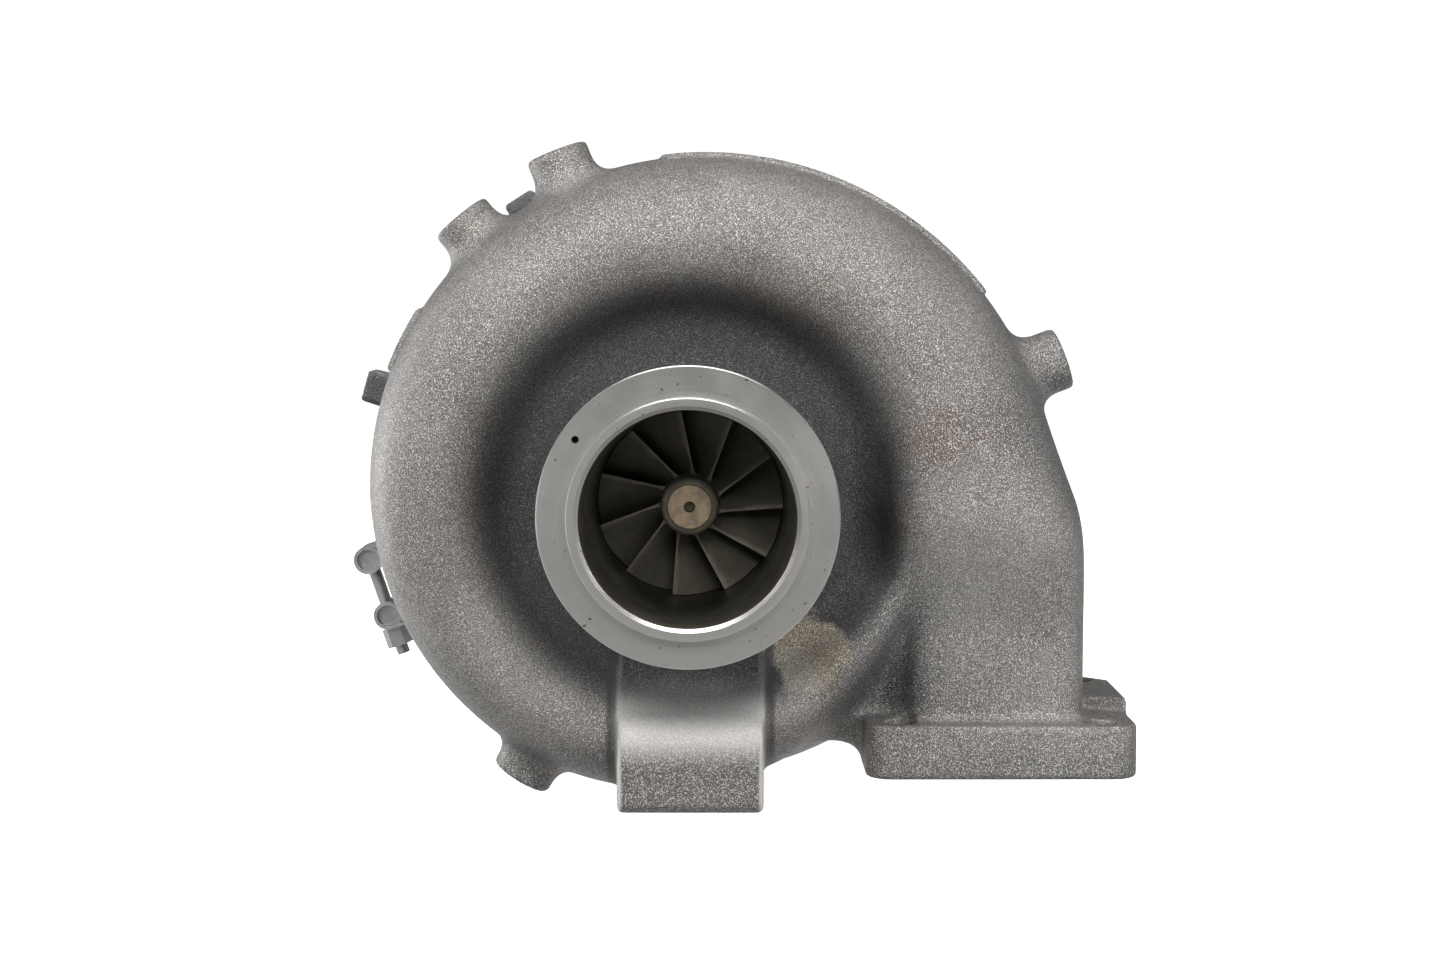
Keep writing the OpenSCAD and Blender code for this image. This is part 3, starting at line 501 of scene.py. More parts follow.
def lathe(profile, sides=192):
    """Points and faces of a closed outline of (radius, y) points turned about the shaft."""
    turn = np.linspace(0, 2 * math.pi, sides, endpoint=False)
    points = [(r * math.cos(a), y, r * math.sin(a)) for r, y in profile for a in turn]
    faces = []
    for i in range(len(profile)):
        j = (i + 1) % len(profile)
        for k in range(sides):
            m = (k + 1) % sides
            faces.append((i * sides + k, i * sides + m, j * sides + m, j * sides + k))
    return points, faces


def drill(piece, centre, axis, r, depth):
    """Cuts a round hole into a piece. All sizes are in millimetres."""
    tool = bpy.data.meshes.new("drill")
    work = bmesh.new()
    bmesh.ops.create_cone(work, cap_ends=True, segments=32, radius1=r * MM, radius2=r * MM, depth=2 * depth * MM)
    work.to_mesh(tool)
    work.free()
    rod = bpy.data.objects.new("drill", tool)
    bpy.context.collection.objects.link(rod)
    rod.location = Vector(centre) * MM
    rod.rotation_mode = "QUATERNION"
    rod.rotation_quaternion = Vector(axis).to_track_quat("Z", "X")
    cutter = piece.modifiers.new("hole", "BOOLEAN")
    cutter.object, cutter.solver = rod, "EXACT"
    apply_modifiers(piece)
    bpy.data.objects.remove(rod)


def apply_modifiers(piece):
    """Makes what the modifiers show into the piece's own mesh."""
    view = bpy.context.evaluated_depsgraph_get()
    done = bpy.data.meshes.new_from_object(piece.evaluated_get(view))
    piece.modifiers.clear()
    piece.data = done


def turbine_housing():
    """The casting as one piece, and the machined ring with its bore as another."""
    points, faces = housing_surface()
    points = relax(points, faces, 2)
    cast = new_mesh("turbine_housing_casting", points, faces, "core", "cast_iron", ["turbine_housing"])

    outside = [(44.4, 0), (PILOT_R - 0.5, 0), (PILOT_R, 0.5), (PILOT_R, PILOT_H), (OUTLET_R - 0.5, PILOT_H),
               (OUTLET_R, PILOT_H + 0.5), (OUTLET_R, PILOT_H + 4), (OUTLET_R - 5, PILOT_H + 9), (51.3, 18.5),
               (47, 22), (42.6, 68), (42.6, 84), (47.2, 97.5)]
    inside = [(43.6, 97.5)] + bore_line()[::-1]
    ring = new_mesh("turbine_outlet_ring", *lathe(outside + inside), "core", "cast_iron", ["turbine_housing"],
                    sharp=25)
    spot = (PILOT_R + OUTLET_R) / 2
    turn = math.radians(PIN_ANGLE)
    drill(ring, (spot * math.cos(turn), PILOT_H, spot * math.sin(turn)), (0, 1, 0), PIN_R, 4)
    return cast, ring


# ---- Wheels ----


def blade(hub, tip, angle, thick, rows, steps, fillet=1.6):
    """Points and faces of one blade. t runs along it and u from its root to its tip, both from 0 to 1.

    hub(t) and tip(t) give radius and y, angle(r, t) the place round the shaft in degrees, and
    thick(u, t) half the thickness, which grows near the hub as a cast fillet does.
    """
    points = []
    for j in range(rows + 1):
        u = (j / rows) ** 1.5
        for side in (1, -1):
            order = range(steps + 1) if side > 0 else range(steps, -1, -1)
            for i in order:
                t = i / steps
                h, p = hub(t), tip(t)
                r, y = mix(h[0], p[0], u), mix(h[1], p[1], u)
                out = max(0, 1 - u * (p[0] - h[0] + abs(p[1] - h[1]) - 2.5) / 5)
                half = thick(u, t) + fillet * out * out
                a = math.radians(angle(r, t)) + side * half / r
                points.append((r * math.cos(a), y, r * math.sin(a)))
    n = 2 * (steps + 1)
    faces = [(j * n + i, (j + 1) * n + i, (j + 1) * n + (i + 1) % n, j * n + (i + 1) % n)
             for j in range(rows) for i in range(n)]
    for base in (0, rows * n):
        faces += [(base + i, base + i + 1, base + n - 2 - i, base + n - 1 - i) for i in range(steps)]
    return points, faces


def turned_by(points, angle):
    """Points turned round the shaft, from +X towards +Z."""
    c, s = math.cos(math.radians(angle)), math.sin(math.radians(angle))
    return [(x * c - z * s, y, x * s + z * c) for x, y, z in points]


def joined(parts):
    """Several sets of points and faces as one."""
    points, faces = [], []
    for p, f in parts:
        faces += [tuple(k + len(points) for k in face) for face in f]
        points += list(p)
    return points, faces


def turbine_hub_r(y):
    """Radius of the turbine wheel's hub between the blades."""
    return mix(11.9, 12.6, (y - 61) / 12) if y < EXDUCER_Y else 12.6 + 27 * max(0, (y - 80) / 30.5) ** 2.6


def turbine_wheel():
    """A hub with a bored nose, and blades that lean at their outlet edges."""
    nose = 57.0
    lean = 3.9  # how far the blades' outlet edges pass beside the shaft axis
    hub = [(0.02, nose + 4), (1.5, nose + 2.5), (2.0, nose + 0.4), (2.4, nose), (8.9, nose), (9.3, nose + 0.4),
           (9.5, nose + 1), (10.9, nose + 1.6), (11.7, nose + 2.4), (11.9, nose + 4)]
    hub += [(turbine_hub_r(y), y) for y in np.arange(64, 110, 2.0)]
    hub += [(39.4, 110.2), (40, 110.8), (40, 111.6), (39.6, 111.8), (16, 113.2), (12, 114.8), (11, 118), (0.02, 118)]
    parts = [lathe(hub, 96)]
    back_y = WHEEL_BACK_Y - 2.2

    def sweep(t):
        return 46 * (1 - (1 - t) ** 2.2)

    def angle(r, t):
        """The blade's angle at a radius: straight but leaning at the outlet, radial further in."""
        share = (1 - t) ** 1.6
        return sweep(t) - share * (math.degrees(math.asin(lean / r)) - math.degrees(math.asin(lean / EXDUCER_R)))

    def root(t):
        y = mix(EXDUCER_Y, back_y, t)
        return turbine_hub_r(y) - 2.0, y

    def tip(t):
        y = mix(EXDUCER_Y, back_y, t)
        return float(tip_r(min(y, INDUCER_Y))), y

    def thick(u, t):
        """Thin at the outlet edge, thicker in the middle, and thinner towards the tip."""
        edge = min(1, 0.45 + 4 * t) * min(1, 0.6 + 4 * (1 - t))
        return mix(1.15, 0.62, u) * edge

    shape = blade(root, tip, angle, thick, 12, 30)
    for i in range(BLADES):
        parts.append((turned_by(shape[0], i * 360 / BLADES + FIRST_BLADE), shape[1]))
    return new_mesh("turbine_wheel_smooth", *joined(parts), "rotor", "hot_alloy", ["turbine_wheel"], sharp=38)


def compressor_wheel():
    """A hub with full blades and shorter splitter blades between them, swept back."""
    back, nose = 208.8, 252.0

    def hub_at(t):
        q = math.radians(90 * t)
        return mix(53, 10.5, math.sin(q)), mix(back + 1.6, EYE_Y, 1 - math.cos(q))

    def thick(u, t):
        edge = min(1, 0.5 + 4 * (1 - t)) * min(1, 0.7 + 4 * t)
        return mix(0.9, 0.45, u) * edge

    hub = [(5.1, back), (OUT_R, back), (OUT_R, back + 1.2)] + [hub_at(k / 24) for k in range(25)]
    hub += [(10.2, nose - 3), (9.4, nose - 0.6), (8.8, nose), (5.1, nose)]
    parts = [lathe(hub, 128)]
    # Full blades reach the eye. Splitters stand midway between them and end earlier.
    for share, turn in ((1, 0), (0.72, 0.5)):
        def root(t):
            r, y = hub_at(t * share)
            return r - 1, y - 0.8

        def tip(t):
            return shroud_at(t * share)

        def angle(r, t):
            return -62 * (t * share) ** 1.3

        shape = blade(root, tip, angle, thick, 10, 30, 1.0)
        for i in range(FULL_BLADES):
            parts.append((turned_by(shape[0], (i + turn) * 360 / FULL_BLADES), shape[1]))
    return new_mesh("compressor_wheel_smooth", *joined(parts), "rotor", "aluminium", ["compressor_wheel"], sharp=38)


def shroud_at(t):
    """Radius and y of the compressor blades' tips, from the outlet, 0, to the eye, 1."""
    q = math.radians(90 * t)
    return mix(OUT_R, EYE_R, math.sin(q)), mix(OUT_Y, EYE_Y, 1 - math.cos(q))


# ---- Compressor housing ----

COVER_LOW, COVER_HIGH = corner_box("compressor_housing")
COVER_Y = 208.0
INLET_END_Y = COVER_HIGH[1]
RIM_R = 136.0
HOSE_R = size_of("compressor_inlet", "r_mm")
PIPE_POS, _ = mount_place("compressor_outlet")
PIPE_R = size_of("compressor_outlet", "r_mm")
PIPE_END = size_of("compressor_outlet", "length_mm")
VOLUTE_WALL = 4.5
OUTLET_RISE = 12.0
# The volute's tube starts at the tongue, with the first radius, and ends at the outlet, with the second
TONGUE_ANGLE, OUTLET_ANGLE = -62, 270
TUBE_START_R, TUBE_END_R = 13, 28.5
LUGS = (1, 2)
LUG_HOLE_R = size_of("cover_lug_1", "r_mm")


def volute_shape(b, wall):
    """The volute's tube, which grows towards the outlet and rises there, away from the inlet flange."""
    angle = np.degrees(np.arctan2(b.z, b.x))
    angle = np.where(angle < TONGUE_ANGLE - 14, angle + 360, angle)
    t = np.clip((angle - TONGUE_ANGLE) / (OUTLET_ANGLE - TONGUE_ANGLE), 0, 1)
    p = mix(TUBE_START_R, TUBE_END_R, t)
    over = np.maximum(np.maximum(TONGUE_ANGLE - angle, angle - OUTLET_ANGLE), 0)
    rise = OUTLET_RISE * np.maximum(0, (t - 0.8) / 0.2) ** 2
    r = np.hypot(b.x, b.z)
    away = np.hypot(np.hypot(r - mix(92, 96, t), b.y - COVER_Y - VOLUTE_WALL - p - rise), np.radians(over) * r)
    return away - p - wall


def lug_shape(b, end, axis):
    """A lug that widens towards the cover and ends in a flat machined face."""
    reach = float(np.dot(end, axis))
    outline = [(104, -22), (132, -9), (reach, -7.5), (reach, 7.5), (132, 9), (104, 22)]
    along = b.x * axis[0] + b.z * axis[2]
    beside = b.z * axis[0] - b.x * axis[2]
    across = outline_distance(along[:, :, 0], beside[:, :, 0], outline)[:, :, None].astype(np.float32)
    return both(across, np.abs(b.y - end[1]) - 11, 1.5)


def cover_body():
    """Rim, plate and inlet pipe as one turned outline."""
    return [(46, COVER_Y + 0.1), (RIM_R, COVER_Y + 0.1), (RIM_R, COVER_Y + 4.3), (RIM_R - 5.5, COVER_Y + 6.3),
            (RIM_R - 6.5, 216), (96, 216), (72, 224), (56, 236), (HOSE_R - 2, 262), (HOSE_R - 2, 266),
            (HOSE_R, 268), (HOSE_R, INLET_END_Y - 1), (HOSE_R - 1, INLET_END_Y), (30, INLET_END_Y), (30, 240)]


def cover_hollow():
    """Inlet, the blades' shroud and the diffuser as one turned outline."""
    line = [(0, INLET_END_Y + 2), (45.5, INLET_END_Y + 2), (43, INLET_END_Y - 2), (EYE_R + TIP_GAP, 262)]
    for k in range(8, -1, -1):
        r, y = shroud_at(k / 8)
        line.append((r + TIP_GAP, y + (0 if k else TIP_GAP)))
    return line + [(98, 214.5), (98, COVER_Y - 2), (0, COVER_Y - 2)]


def compressor_housing():
    """The cover: volute, outlet pipe, inlet pipe, rim and two lugs, and the holes in them."""
    b = Block(list(COVER_LOW - MARGIN), list(COVER_HIGH + MARGIN), COVER_STEP)
    b.add(volute_shape(b, VOLUTE_WALL))
    b.add(turned_shape(b, cover_body()), 7)
    b.add(rod_shape(b, PIPE_POS - [2, 0, 0], [1, 0, 0], PIPE_R - 1, PIPE_POS[0], 0.8), 4)
    b.add(rod_shape(b, PIPE_POS, [1, 0, 0], PIPE_R, PIPE_END, 0.8), 1)
    for i in LUGS:
        end, axis = mount_place(f"cover_lug_{i}")
        part = b.near(np.array([end[0] - 70, 206, end[2] - 90]), np.array([end[0] + 110, 250, end[2] + 60]))
        part.add(lug_shape(part, end, axis), 6)
    b.cut(volute_shape(b, 0))
    b.cut(rod_shape(b, PIPE_POS + [4, 0, 0], [1, 0, 0], PIPE_R - 4.9, PIPE_POS[0] + 8, 0))
    b.cut(turned_shape(b, cover_hollow()))
    for i in LUGS:
        end, axis = mount_place(f"cover_lug_{i}")
        hole = b.near(end - 24, end + 24)
        hole.cut(rod_shape(hole, end + 2 * axis, axis, LUG_HOLE_R, 16, 0))
    points, faces = surface(b)
    return new_mesh("compressor_cover", relax(points, faces, 2), faces, "core", "aluminium", ["compressor_housing"])


# ---- Materials ----


class Paint:
    """A material whose nodes are added one by one."""

    def __init__(self, name, metal=0.0, gloss=0.5):
        self.material = bpy.data.materials.new(name)
        self.material.use_nodes = True
        self.nodes, self.links = self.material.node_tree.nodes, self.material.node_tree.links
        self.shader = self.nodes["Principled BSDF"]
        self.place = self.nodes.new("ShaderNodeTexCoord").outputs["Object"]
        self.shader.inputs["Metallic"].default_value = metal
        self.shader.inputs["Specular IOR Level"].default_value = gloss

    def feed(self, socket, value):
        """Links a socket, or sets it if value is plain."""
        if isinstance(value, bpy.types.NodeSocket):
            self.links.new(value, socket)
        else:
            socket.default_value = value

    def noise(self, scale, detail=3.0, rough=0.55, bend=0.0, place=None):
        n = self.nodes.new("ShaderNodeTexNoise")
        self.links.new(place or self.place, n.inputs["Vector"])
        for key, value in (("Scale", scale), ("Detail", detail), ("Roughness", rough), ("Distortion", bend)):
            n.inputs[key].default_value = value
        return n.outputs["Fac"]

    def math(self, operation, a, b=0.0, c=0.0):
        n = self.nodes.new("ShaderNodeMath")
        n.operation = operation
        for socket, value in zip(n.inputs, (a, b, c)):
            self.feed(socket, value)
        return n.outputs[0]

    def times(self, a, b):
        return self.math("MULTIPLY", a, b)

    def length(self, a, b):
        """Length of the step (a, b)."""
        return self.math("SQRT", self.math("ADD", self.times(a, a), self.times(b, b)))

    def off(self, value, middle):
        """How far a value is from a middle, on either side."""
        return self.math("ABSOLUTE", self.math("SUBTRACT", value, middle))

    def span(self, value, low, high, to_low=0.0, to_high=1.0):
        """Value taken from one range to another with a soft start and end, and held there."""
        n = self.nodes.new("ShaderNodeMapRange")
        n.interpolation_type = "SMOOTHSTEP"
        for socket, v in zip(n.inputs, (value, low, high, to_low, to_high)):
            self.feed(socket, v)
        return n.outputs[0]

    def mix(self, share, a, b):
        """Colour a, turned into colour b by a share from 0 to 1."""
        n = self.nodes.new("ShaderNodeMix")
        n.data_type = "RGBA"
        self.feed(n.inputs["Factor"], share)
        self.feed(n.inputs[6], (*a, 1) if isinstance(a, tuple) else a)
        self.feed(n.inputs[7], (*b, 1) if isinstance(b, tuple) else b)
        return n.outputs[2]

    def bump(self, height, distance, strength=1.0, normal=None):
        n = self.nodes.new("ShaderNodeBump")
        n.inputs["Strength"].default_value = strength
        n.inputs["Distance"].default_value = distance
        self.links.new(height, n.inputs["Height"])
        if normal:
            self.links.new(normal, n.inputs["Normal"])
        return n.outputs["Normal"]

    def axes(self):
        """X, Y, Z and the distance from the shaft axis."""
        n = self.nodes.new("ShaderNodeSeparateXYZ")
        self.links.new(self.place, n.inputs[0])
        x, y, z = n.outputs
        return x, y, z, self.length(x, z)

    def rings(self):
        """Noise in fine rings about the shaft."""
        _, y, _, r = self.axes()
        n = self.nodes.new("ShaderNodeCombineXYZ")
        self.links.new(r, n.inputs[0])
        self.links.new(y, n.inputs[1])
        return self.noise(2600, 2, 0.6, place=n.outputs[0])

    def near(self, x, z, reach, wobble, blur=0.0):
        """A patch in the XZ plane, 1 inside and 0 outside, with a ragged rim that may be blurred."""
        px, _, pz, _ = self.axes()
        away = self.length(self.math("SUBTRACT", px, x), self.math("SUBTRACT", pz, z))
        ragged = self.math("MULTIPLY_ADD", self.noise(90, 4), wobble, away)
        return self.span(ragged, reach * (1 + blur) + wobble * 0.55, reach * (1 - blur) + wobble * 0.47)

    def finish(self, colour, rough, normal=None):
        for key, value in (("Base Color", colour), ("Roughness", rough), ("Normal", normal)):
            if value is not None:
                self.feed(self.shader.inputs[key], value)
        return self.material


# Colours of painted shade, painted light and painted highlight on the iron
PAINTED_SHADE, PAINTED_LIGHT, PAINTED_HIGHLIGHT = (0.050, 0.050, 0.051), (0.40, 0.39, 0.37), (0.80, 0.78, 0.75)


def cast_iron():
    """Shot-blasted cast iron: grey with bright flecks and brown marks, painted shade in the valley round the neck
    and on parts of the foot, and painted light on the foot's shoulder and side beads.
    """
    p = Paint("cast_iron_blasted", 0.62)
    _, y, z, r = p.axes()
    grain, speck = p.noise(2100, 2.0, 0.6), p.noise(4000, 1.0, 0.5)
    cloud, drift = p.noise(28, 5, 0.6), p.noise(9, 3, 0.5)
    base = p.mix(p.span(cloud, 0.35, 0.65), (0.118, 0.112, 0.105), (0.165, 0.157, 0.148))
    base = p.mix(p.span(drift, 0.45, 0.7, 0, 0.5), base, (0.160, 0.132, 0.108))
    base, stain = iron_stains(p, base)
    # Patches of painted shade and painted light
    base = iron_patches(p, base)
    # Painted shadow of the ring on the top of the foot
    base = p.mix(foot_shadow(p), base, PAINTED_SHADE)
    # Painted shade: the lowest parts of the casting, the foot's front and the flange, get darker towards the bottom
    base = p.mix(p.span(z, -0.098, -0.110, 0, 0.42), base, PAINTED_SHADE)
    # Painted highlight on the foot's shoulder and side beads: a light tone under the grain here
    highlight = foot_highlight(p)
    base = p.mix(p.times(highlight, 0.75), base, PAINTED_LIGHT)
    base = p.mix(p.span(grain, 0.52, 0.66, 0, 0.75), base, (0.66, 0.65, 0.63))
    base = p.mix(p.span(grain, 0.49, 0.36, 0, 0.6), base, (0.060, 0.056, 0.052))
    # and a brighter painted highlight over the grain on the same places
    base = p.mix(p.times(highlight, 0.4), base, PAINTED_HIGHLIGHT)
    # Painted shade in the valley round the neck, kept off the tan stain
    valley = p.times(p.span(r, 0.100, 0.082), p.span(y, 0.018, 0.052))
    valley = p.times(valley, p.math("SUBTRACT", 1.0, stain))
    soot_and_shade = p.mix(p.span(grain, 0.54, 0.66), (0.014, 0.015, 0.016), (0.075, 0.076, 0.078))
    base = p.mix(p.times(valley, 0.88), base, soot_and_shade)
    # Painted shade in the grooves beside the foot
    base = p.mix(foot_groove_shade(p), base, (0.035, 0.035, 0.036))
    rough = p.span(p.noise(300, 3), 0.3, 0.7, 0.28, 0.42)
    height = p.math("MULTIPLY_ADD", speck, 0.35, grain)
    normal = p.bump(height, 0.00050, 1.0, p.bump(p.noise(160, 3), 0.0006, 0.35))
    return p.finish(base, rough, normal)


def iron_stains(p, base):
    """Brown marks all over, more of them where the scroll meets the column, and a tan stain below the ring."""
    brown = p.times(p.span(p.noise(55, 6, 0.7), 0.54, 0.66), p.span(p.noise(17, 2), 0.46, 0.60))
    base = p.mix(p.times(brown, 0.6), base, (0.125, 0.083, 0.048))
    streak = p.times(p.near(0.112, 0.015, 0.030, 0.030, 0.7), p.span(p.noise(38, 5, 0.7), 0.42, 0.60))
    base = p.mix(p.times(streak, 0.8), base, (0.105, 0.066, 0.042))
    stain, core = p.near(0.0506, -0.066, 0.0165, 0.020, 0.1), p.near(0.0506, -0.0645, 0.0135, 0.022, 0.1)
    base = p.mix(p.times(stain, 0.8), base, (0.105, 0.070, 0.030))
    return p.mix(p.times(core, 0.7), base, (0.215, 0.178, 0.118)), stain


def iron_patches(p, base):
    """Soft patches of painted shade and painted light: x, z, size, strength and colour of each."""
    for x, z, reach, share, tint in (
        (0.076, -0.088, 0.016, 0.60, PAINTED_SHADE),
        (0.093, -0.078, 0.013, 0.60, PAINTED_SHADE),
        (0.090, -0.050, 0.015, 0.60, PAINTED_SHADE),
        (0.142, 0.032, 0.030, 0.60, PAINTED_SHADE),
        (0.118, -0.022, 0.030, 0.30, PAINTED_LIGHT),
        (-0.075, -0.062, 0.025, 0.28, PAINTED_LIGHT),
        (0.043, -0.078, 0.010, 0.40, PAINTED_LIGHT),
    ):
        base = p.mix(p.times(p.near(x, z, reach, 0.012, 0.9), share), base, tint)
    return base


def from_side(p, out):
    """Distance from a line along each side of the foot, a little outside it."""
    x, _, _, _ = p.axes()
    return p.off(p.off(x, 0.0), FOOT_HALF * MM + out)


def foot_area(p):
    """1 on the front of the foot and 0 beside and behind it."""
    x, y, _, _ = p.axes()
    half = FOOT_HALF * MM
    return p.times(p.span(p.off(x, 0.0), half + 0.0035, half - 0.0010), p.span(y, 0.110, 0.100))


def foot_shadow(p):
    """Painted shadow on the top of the foot, under the ring."""
    _, _, z, _ = p.axes()
    band = p.times(p.span(z, -0.080, -0.070), p.span(z, -0.045, -0.055))
    return p.times(p.times(band, foot_area(p)), 0.9)


def foot_highlight(p):
    """Painted highlight on the foot: its shoulder and the beads along its sides."""
    _, y, z, _ = p.axes()
    shoulder = p.times(p.times(p.span(z, -0.072, -0.086), p.span(z, -0.112, -0.094)), foot_area(p))
    bead = p.times(p.span(from_side(p, -0.0005), 0.0022, 0.0006), p.span(z, -0.056, -0.062))
    return p.math("MAXIMUM", shoulder, p.times(bead, p.span(y, 0.110, 0.100)))


def foot_groove_shade(p):
    """Painted shade in the grooves on both sides of the foot."""
    _, y, z, _ = p.axes()
    groove = p.times(p.span(from_side(p, 0.0025), 0.0032, 0.0010), p.span(z, -0.052, -0.062))
    return p.times(groove, p.span(y, 0.096, 0.090, 0, 0.75))


def machined_steel(name, colour, rough):
    """Turned metal: fine rings about the shaft, small dark dots and faint smudges."""
    p = Paint(name, 1.0)
    groove, smudge = p.rings(), p.noise(45, 4, 0.6)
    tone = p.mix(p.span(smudge, 0.4, 0.65), colour, tuple(c * 0.86 for c in colour))
    tone = p.mix(p.span(groove, 0.55, 0.75, 0, 0.25), tone, tuple(min(1, c * 1.2) for c in colour))
    tone = p.mix(p.span(p.noise(420, 2, 0.5), 0.725, 0.76), tone, (0.10, 0.07, 0.05))
    grit = p.math("MULTIPLY_ADD", p.noise(1500, 2), 0.5, groove)
    return p.finish(tone, p.span(smudge, 0.35, 0.7, rough, rough + 0.12), p.bump(grit, 0.00005, 0.8))


def outlet_metal():
    """The machined ring, painted a little darker at its top as shade, which turns into a dark sooty bore."""
    p = Paint("outlet_machined", 1.0)
    x, y, z, r = p.axes()
    groove, smudge = p.rings(), p.noise(40, 4, 0.6)
    tone = p.mix(p.span(smudge, 0.4, 0.65), (0.54, 0.53, 0.51), (0.45, 0.44, 0.42))
    # Painted shade: the ring gets darker towards its top
    tone = p.mix(p.span(z, 0.020, 0.058, 0, 0.8), tone, (0.36, 0.355, 0.34))
    tone = p.mix(p.span(groove, 0.55, 0.75, 0, 0.3), tone, (0.68, 0.67, 0.65))
    tone = p.mix(p.span(p.noise(430, 2, 0.5), 0.72, 0.755), tone, (0.11, 0.07, 0.05))
    soot_and_shade = p.times(p.span(r, 0.0440, 0.0431), p.span(y, 0.0012, 0.0028))
    dark = p.mix(p.span(p.noise(120, 4), 0.35, 0.65), (0.085, 0.082, 0.077), (0.125, 0.120, 0.110))
    dark = p.mix(p.times(p.span(y, 0.012, 0.003), 0.75), dark, (0.20, 0.165, 0.12))
    # Painted shade in the locating hole: near black inside it
    spot, turn = (PILOT_R + OUTLET_R) / 2 * MM, math.radians(PIN_ANGLE)
    away = p.length(p.math("SUBTRACT", x, spot * math.cos(turn)), p.math("SUBTRACT", z, spot * math.sin(turn)))
    tone = p.mix(p.span(away, PIN_R * MM + 0.0001, PIN_R * MM - 0.0002), tone, (0.004, 0.004, 0.004))
    rough = p.math("ADD", p.span(smudge, 0.35, 0.7, 0.32, 0.40), p.times(soot_and_shade, 0.12))
    grit = p.math("MULTIPLY_ADD", p.noise(1500, 2), 0.6, groove)
    return p.finish(p.mix(soot_and_shade, tone, dark), rough, p.bump(grit, 0.00006, 0.8))


def hot_alloy():
    """Turbine wheel: oxidised alloy, olive brown, with a tan scorched nose."""
    p = Paint("hot_alloy_oxidised", 0.45)
    _, y, _, r = p.axes()
    base = p.mix(p.span(p.noise(60, 4), 0.35, 0.65), (0.15, 0.138, 0.108), (0.225, 0.207, 0.165))
    base = p.mix(p.span(p.noise(700, 2), 0.55, 0.75, 0, 0.4), base, (0.28, 0.25, 0.20))
    nose = p.times(p.span(r, 0.0096, 0.0091), p.span(y, 0.0584, 0.0577))
    tan = p.mix(p.span(p.noise(260, 4, 0.6), 0.4, 0.62), (0.46, 0.355, 0.23), (0.30, 0.24, 0.17))
    base = p.mix(nose, base, tan)
    # Painted shade in the nose's centre hole: near black
    hole = p.span(r, 0.0024, 0.0020)
    base = p.mix(p.times(hole, nose), base, (0.03, 0.028, 0.025))
    rough = p.span(p.noise(200, 3), 0.3, 0.7, 0.40, 0.56)
    return p.finish(base, rough, p.bump(p.noise(1300, 2), 0.00012, 0.6))


def cast_aluminium():
    """Sand-cast aluminium with a satin skin, with painted shade on the lugs' faces towards the turbine."""
    p = Paint("cast_aluminium", 0.9)
    _, y, _, r = p.axes()
    grain, cloud = p.noise(900, 3, 0.6), p.noise(35, 4)
    base = p.mix(p.span(cloud, 0.35, 0.65), (0.27, 0.27, 0.275), (0.34, 0.34, 0.345))
    base = p.mix(p.span(grain, 0.46, 0.34, 0, 0.6), base, (0.13, 0.13, 0.13))
    base = p.mix(p.span(grain, 0.55, 0.68, 0, 0.5), base, (0.55, 0.55, 0.55))
    # Painted shade on the lugs' faces towards the turbine: near black
    lug_face_shade = p.times(p.span(y, 0.2192, 0.2184), p.span(r, 0.146, 0.150, 0, 0.85))
    base = p.mix(lug_face_shade, base, (0.035, 0.035, 0.037))
    normal = p.bump(grain, 0.0006, 1.0, p.bump(p.noise(140, 3), 0.0006, 0.4))
    return p.finish(base, p.span(cloud, 0.3, 0.7, 0.40, 0.52), normal)


def bright_metal(name, colour, rough):
    """Rolled or turned metal with fine wear and faint stains."""
    p = Paint(name, 1.0)
    wear, cloud = p.noise(500, 4, 0.65, 0.4), p.noise(70, 4)
    tone = p.mix(p.span(cloud, 0.38, 0.66), colour, tuple(c * 0.8 for c in colour))
    tone = p.mix(p.span(wear, 0.66, 0.74, 0, 0.6), tone, tuple(c * 0.5 for c in colour))
    return p.finish(tone, p.span(wear, 0.3, 0.7, rough, rough + 0.15), p.bump(wear, 0.00006, 0.5))


def rubber():
    """Black rubber with a dull, slightly dusty skin."""
    p = Paint("seal_rubber")
    fine = p.noise(1400, 3)
    tone = p.mix(p.span(fine, 0.35, 0.7), (0.012, 0.012, 0.012), (0.028, 0.028, 0.027))
    return p.finish(tone, p.span(fine, 0.3, 0.7, 0.45, 0.6), p.bump(fine, 0.00006, 0.6))


def dress(materials):
    """Gives every carried-over CAD node its material, by the record's slot names."""
    slots = {part["node"]: part["material_slot"] for part in frame["record"]["subparts"]}
    for name, node in frame["nodes"].items():
        node.data.materials.clear()
        node.data.materials.append(materials[slots[name]])


# ---- Picture ----


def camera():
    """The camera stands in front of the outlet, a little above the shaft, and looks slightly down."""
    data = bpy.data.cameras.new("camera")
    data.sensor_width, data.lens = 36, 59.4
    eye = bpy.data.objects.new("camera", data)
    eye.location = (0.0136, -0.923, 0.0896)
    eye.rotation_euler = (math.radians(90 - 4.61), 0, 0)
    bpy.context.collection.objects.link(eye)
    bpy.context.scene.camera = eye


def soft_light(name, place, aim, size, power):
    """A rectangular light that faces a point. The size is in metres and the power in watts."""
    data = bpy.data.lights.new(name, "AREA")
    data.shape, data.size, data.size_y, data.energy = "RECTANGLE", size[0], size[1], power
    lamp = bpy.data.objects.new(name, data)
    lamp.location = place
    lamp.rotation_euler = (Vector(aim) - Vector(place)).to_track_quat("-Z", "Y").to_euler()
    bpy.context.collection.objects.link(lamp)


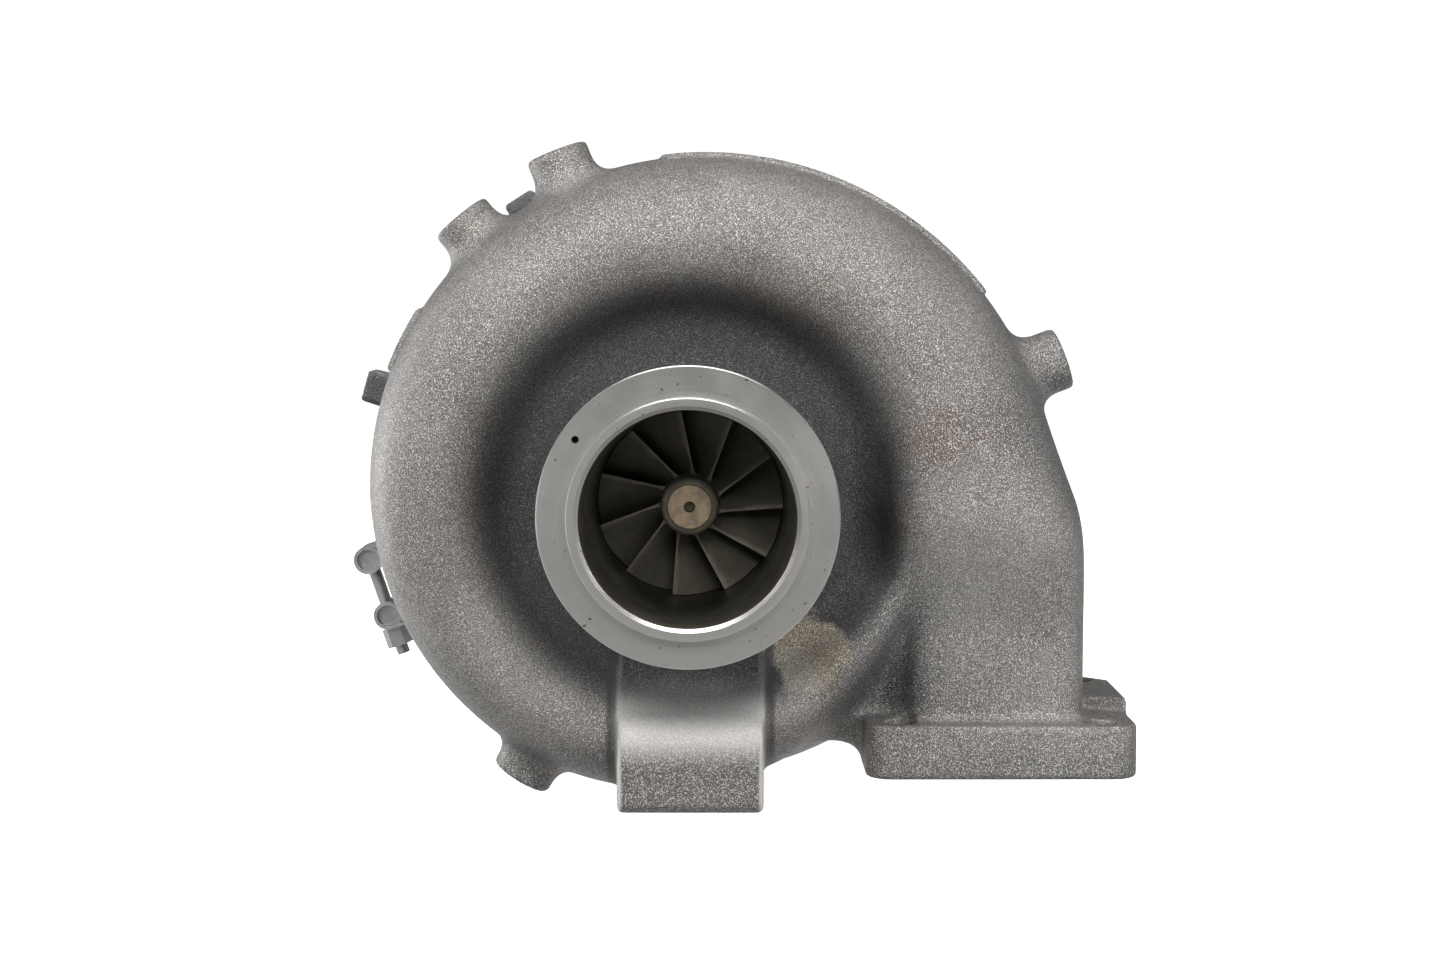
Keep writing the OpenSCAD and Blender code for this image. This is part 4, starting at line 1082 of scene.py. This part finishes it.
def pale_floor():
    """A white floor just under the lowest point, which glows evenly. The object neither shades nor mirrors it."""
    floor = bpy.data.meshes.new("floor")
    half = 4.0
    z = cad_box[0][2] - 0.0002
    floor.from_pydata([(-half, -half, z), (half, -half, z), (half, half, z), (-half, half, z)], [], [(0, 1, 2, 3)])
    ground = bpy.data.objects.new("floor", floor)
    bpy.context.collection.objects.link(ground)
    ground.visible_diffuse = ground.visible_glossy = ground.visible_shadow = False
    p = Paint("pale_floor", gloss=0.0)
    p.shader.inputs["Emission Color"].default_value = (1, 1, 1, 1)
    p.shader.inputs["Emission Strength"].default_value = 1.0
    floor.materials.append(p.finish(p.mix(p.noise(3, 2), (0.92, 0.92, 0.92), (0.95, 0.95, 0.95)), 0.95))


def soft_lights():
    """Two tall boxes beside the camera, a wide one above, and weaker ones in front and behind."""
    middle = (0.0, 0.1, 0.02)
    soft_light("left_softbox", (-1.1, -0.85, 0.6), middle, (0.26, 0.8), 20)
    soft_light("right_softbox", (1.15, -0.85, 0.45), middle, (0.24, 0.8), 19)
    soft_light("top_softbox", (0.0, -0.3, 1.3), middle, (1.2, 0.8), 21)
    soft_light("front_softbox", (0.1, -1.25, 0.75), middle, (0.9, 0.5), 8.5)
    soft_light("back_softbox", (-1.15, 0.8, 0.0), middle, (0.9, 0.6), 9)


def surroundings():
    """White where they are looked at. The object sees a dim room, a brighter table below and a wall behind."""
    world = bpy.data.worlds.new("studio")
    world.use_nodes = True
    bpy.context.scene.world = world
    nodes, links = world.node_tree.nodes, world.node_tree.links

    def ramp(value, low, high, to_low, to_high):
        n = nodes.new("ShaderNodeMapRange")
        links.new(value, n.inputs[0])
        for socket, v in zip(n.inputs[1:5], (low, high, to_low, to_high)):
            socket.default_value = v
        return n

    way = nodes.new("ShaderNodeSeparateXYZ")
    links.new(nodes.new("ShaderNodeTexCoord").outputs["Generated"], way.inputs[0])
    table, wall = ramp(way.outputs[2], 0.0, -0.25, 0.08, 0.60), ramp(way.outputs[1], 0.2, 0.8, 0.0, 0.10)
    both_lit = nodes.new("ShaderNodeMath")
    links.new(table.outputs[0], both_lit.inputs[0])
    links.new(wall.outputs[0], both_lit.inputs[1])
    level = ramp(nodes.new("ShaderNodeLightPath").outputs["Is Camera Ray"], 0.0, 1.0, 0.0, 1.05)
    links.new(both_lit.outputs[0], level.inputs[3])
    sky = nodes["Background"]
    sky.inputs["Color"].default_value = (1, 1, 1, 1)
    links.new(level.outputs[0], sky.inputs["Strength"])


# ---- The model ----

camera()

IRON = cast_iron()
ALUMINIUM = cast_aluminium()
SLOTS = {
    "cast_iron": IRON,
    "hot_alloy": hot_alloy(),
    "ground_steel": machined_steel("ground_steel", (0.62, 0.61, 0.60), 0.22),
    "stamped_steel": bright_metal("stamped_steel", (0.60, 0.60, 0.60), 0.26),
    "fastener_steel": bright_metal("fastener_steel", (0.42, 0.41, 0.40), 0.34),
    "bronze": bright_metal("bronze", (0.62, 0.42, 0.20), 0.3),
    "aluminium": ALUMINIUM,
    "seal_rubber": rubber(),
}
dress(SLOTS)

casting, ring = turbine_housing()
casting.data.materials.append(IRON)
ring.data.materials.clear()
ring.data.materials.append(outlet_metal())
turbine_wheel().data.materials.append(SLOTS["hot_alloy"])
compressor_wheel().data.materials.append(ALUMINIUM)
compressor_housing().data.materials.append(ALUMINIUM)
pale_floor()
soft_lights()
surroundings()
bpy.context.scene.view_settings.view_transform = "Standard"
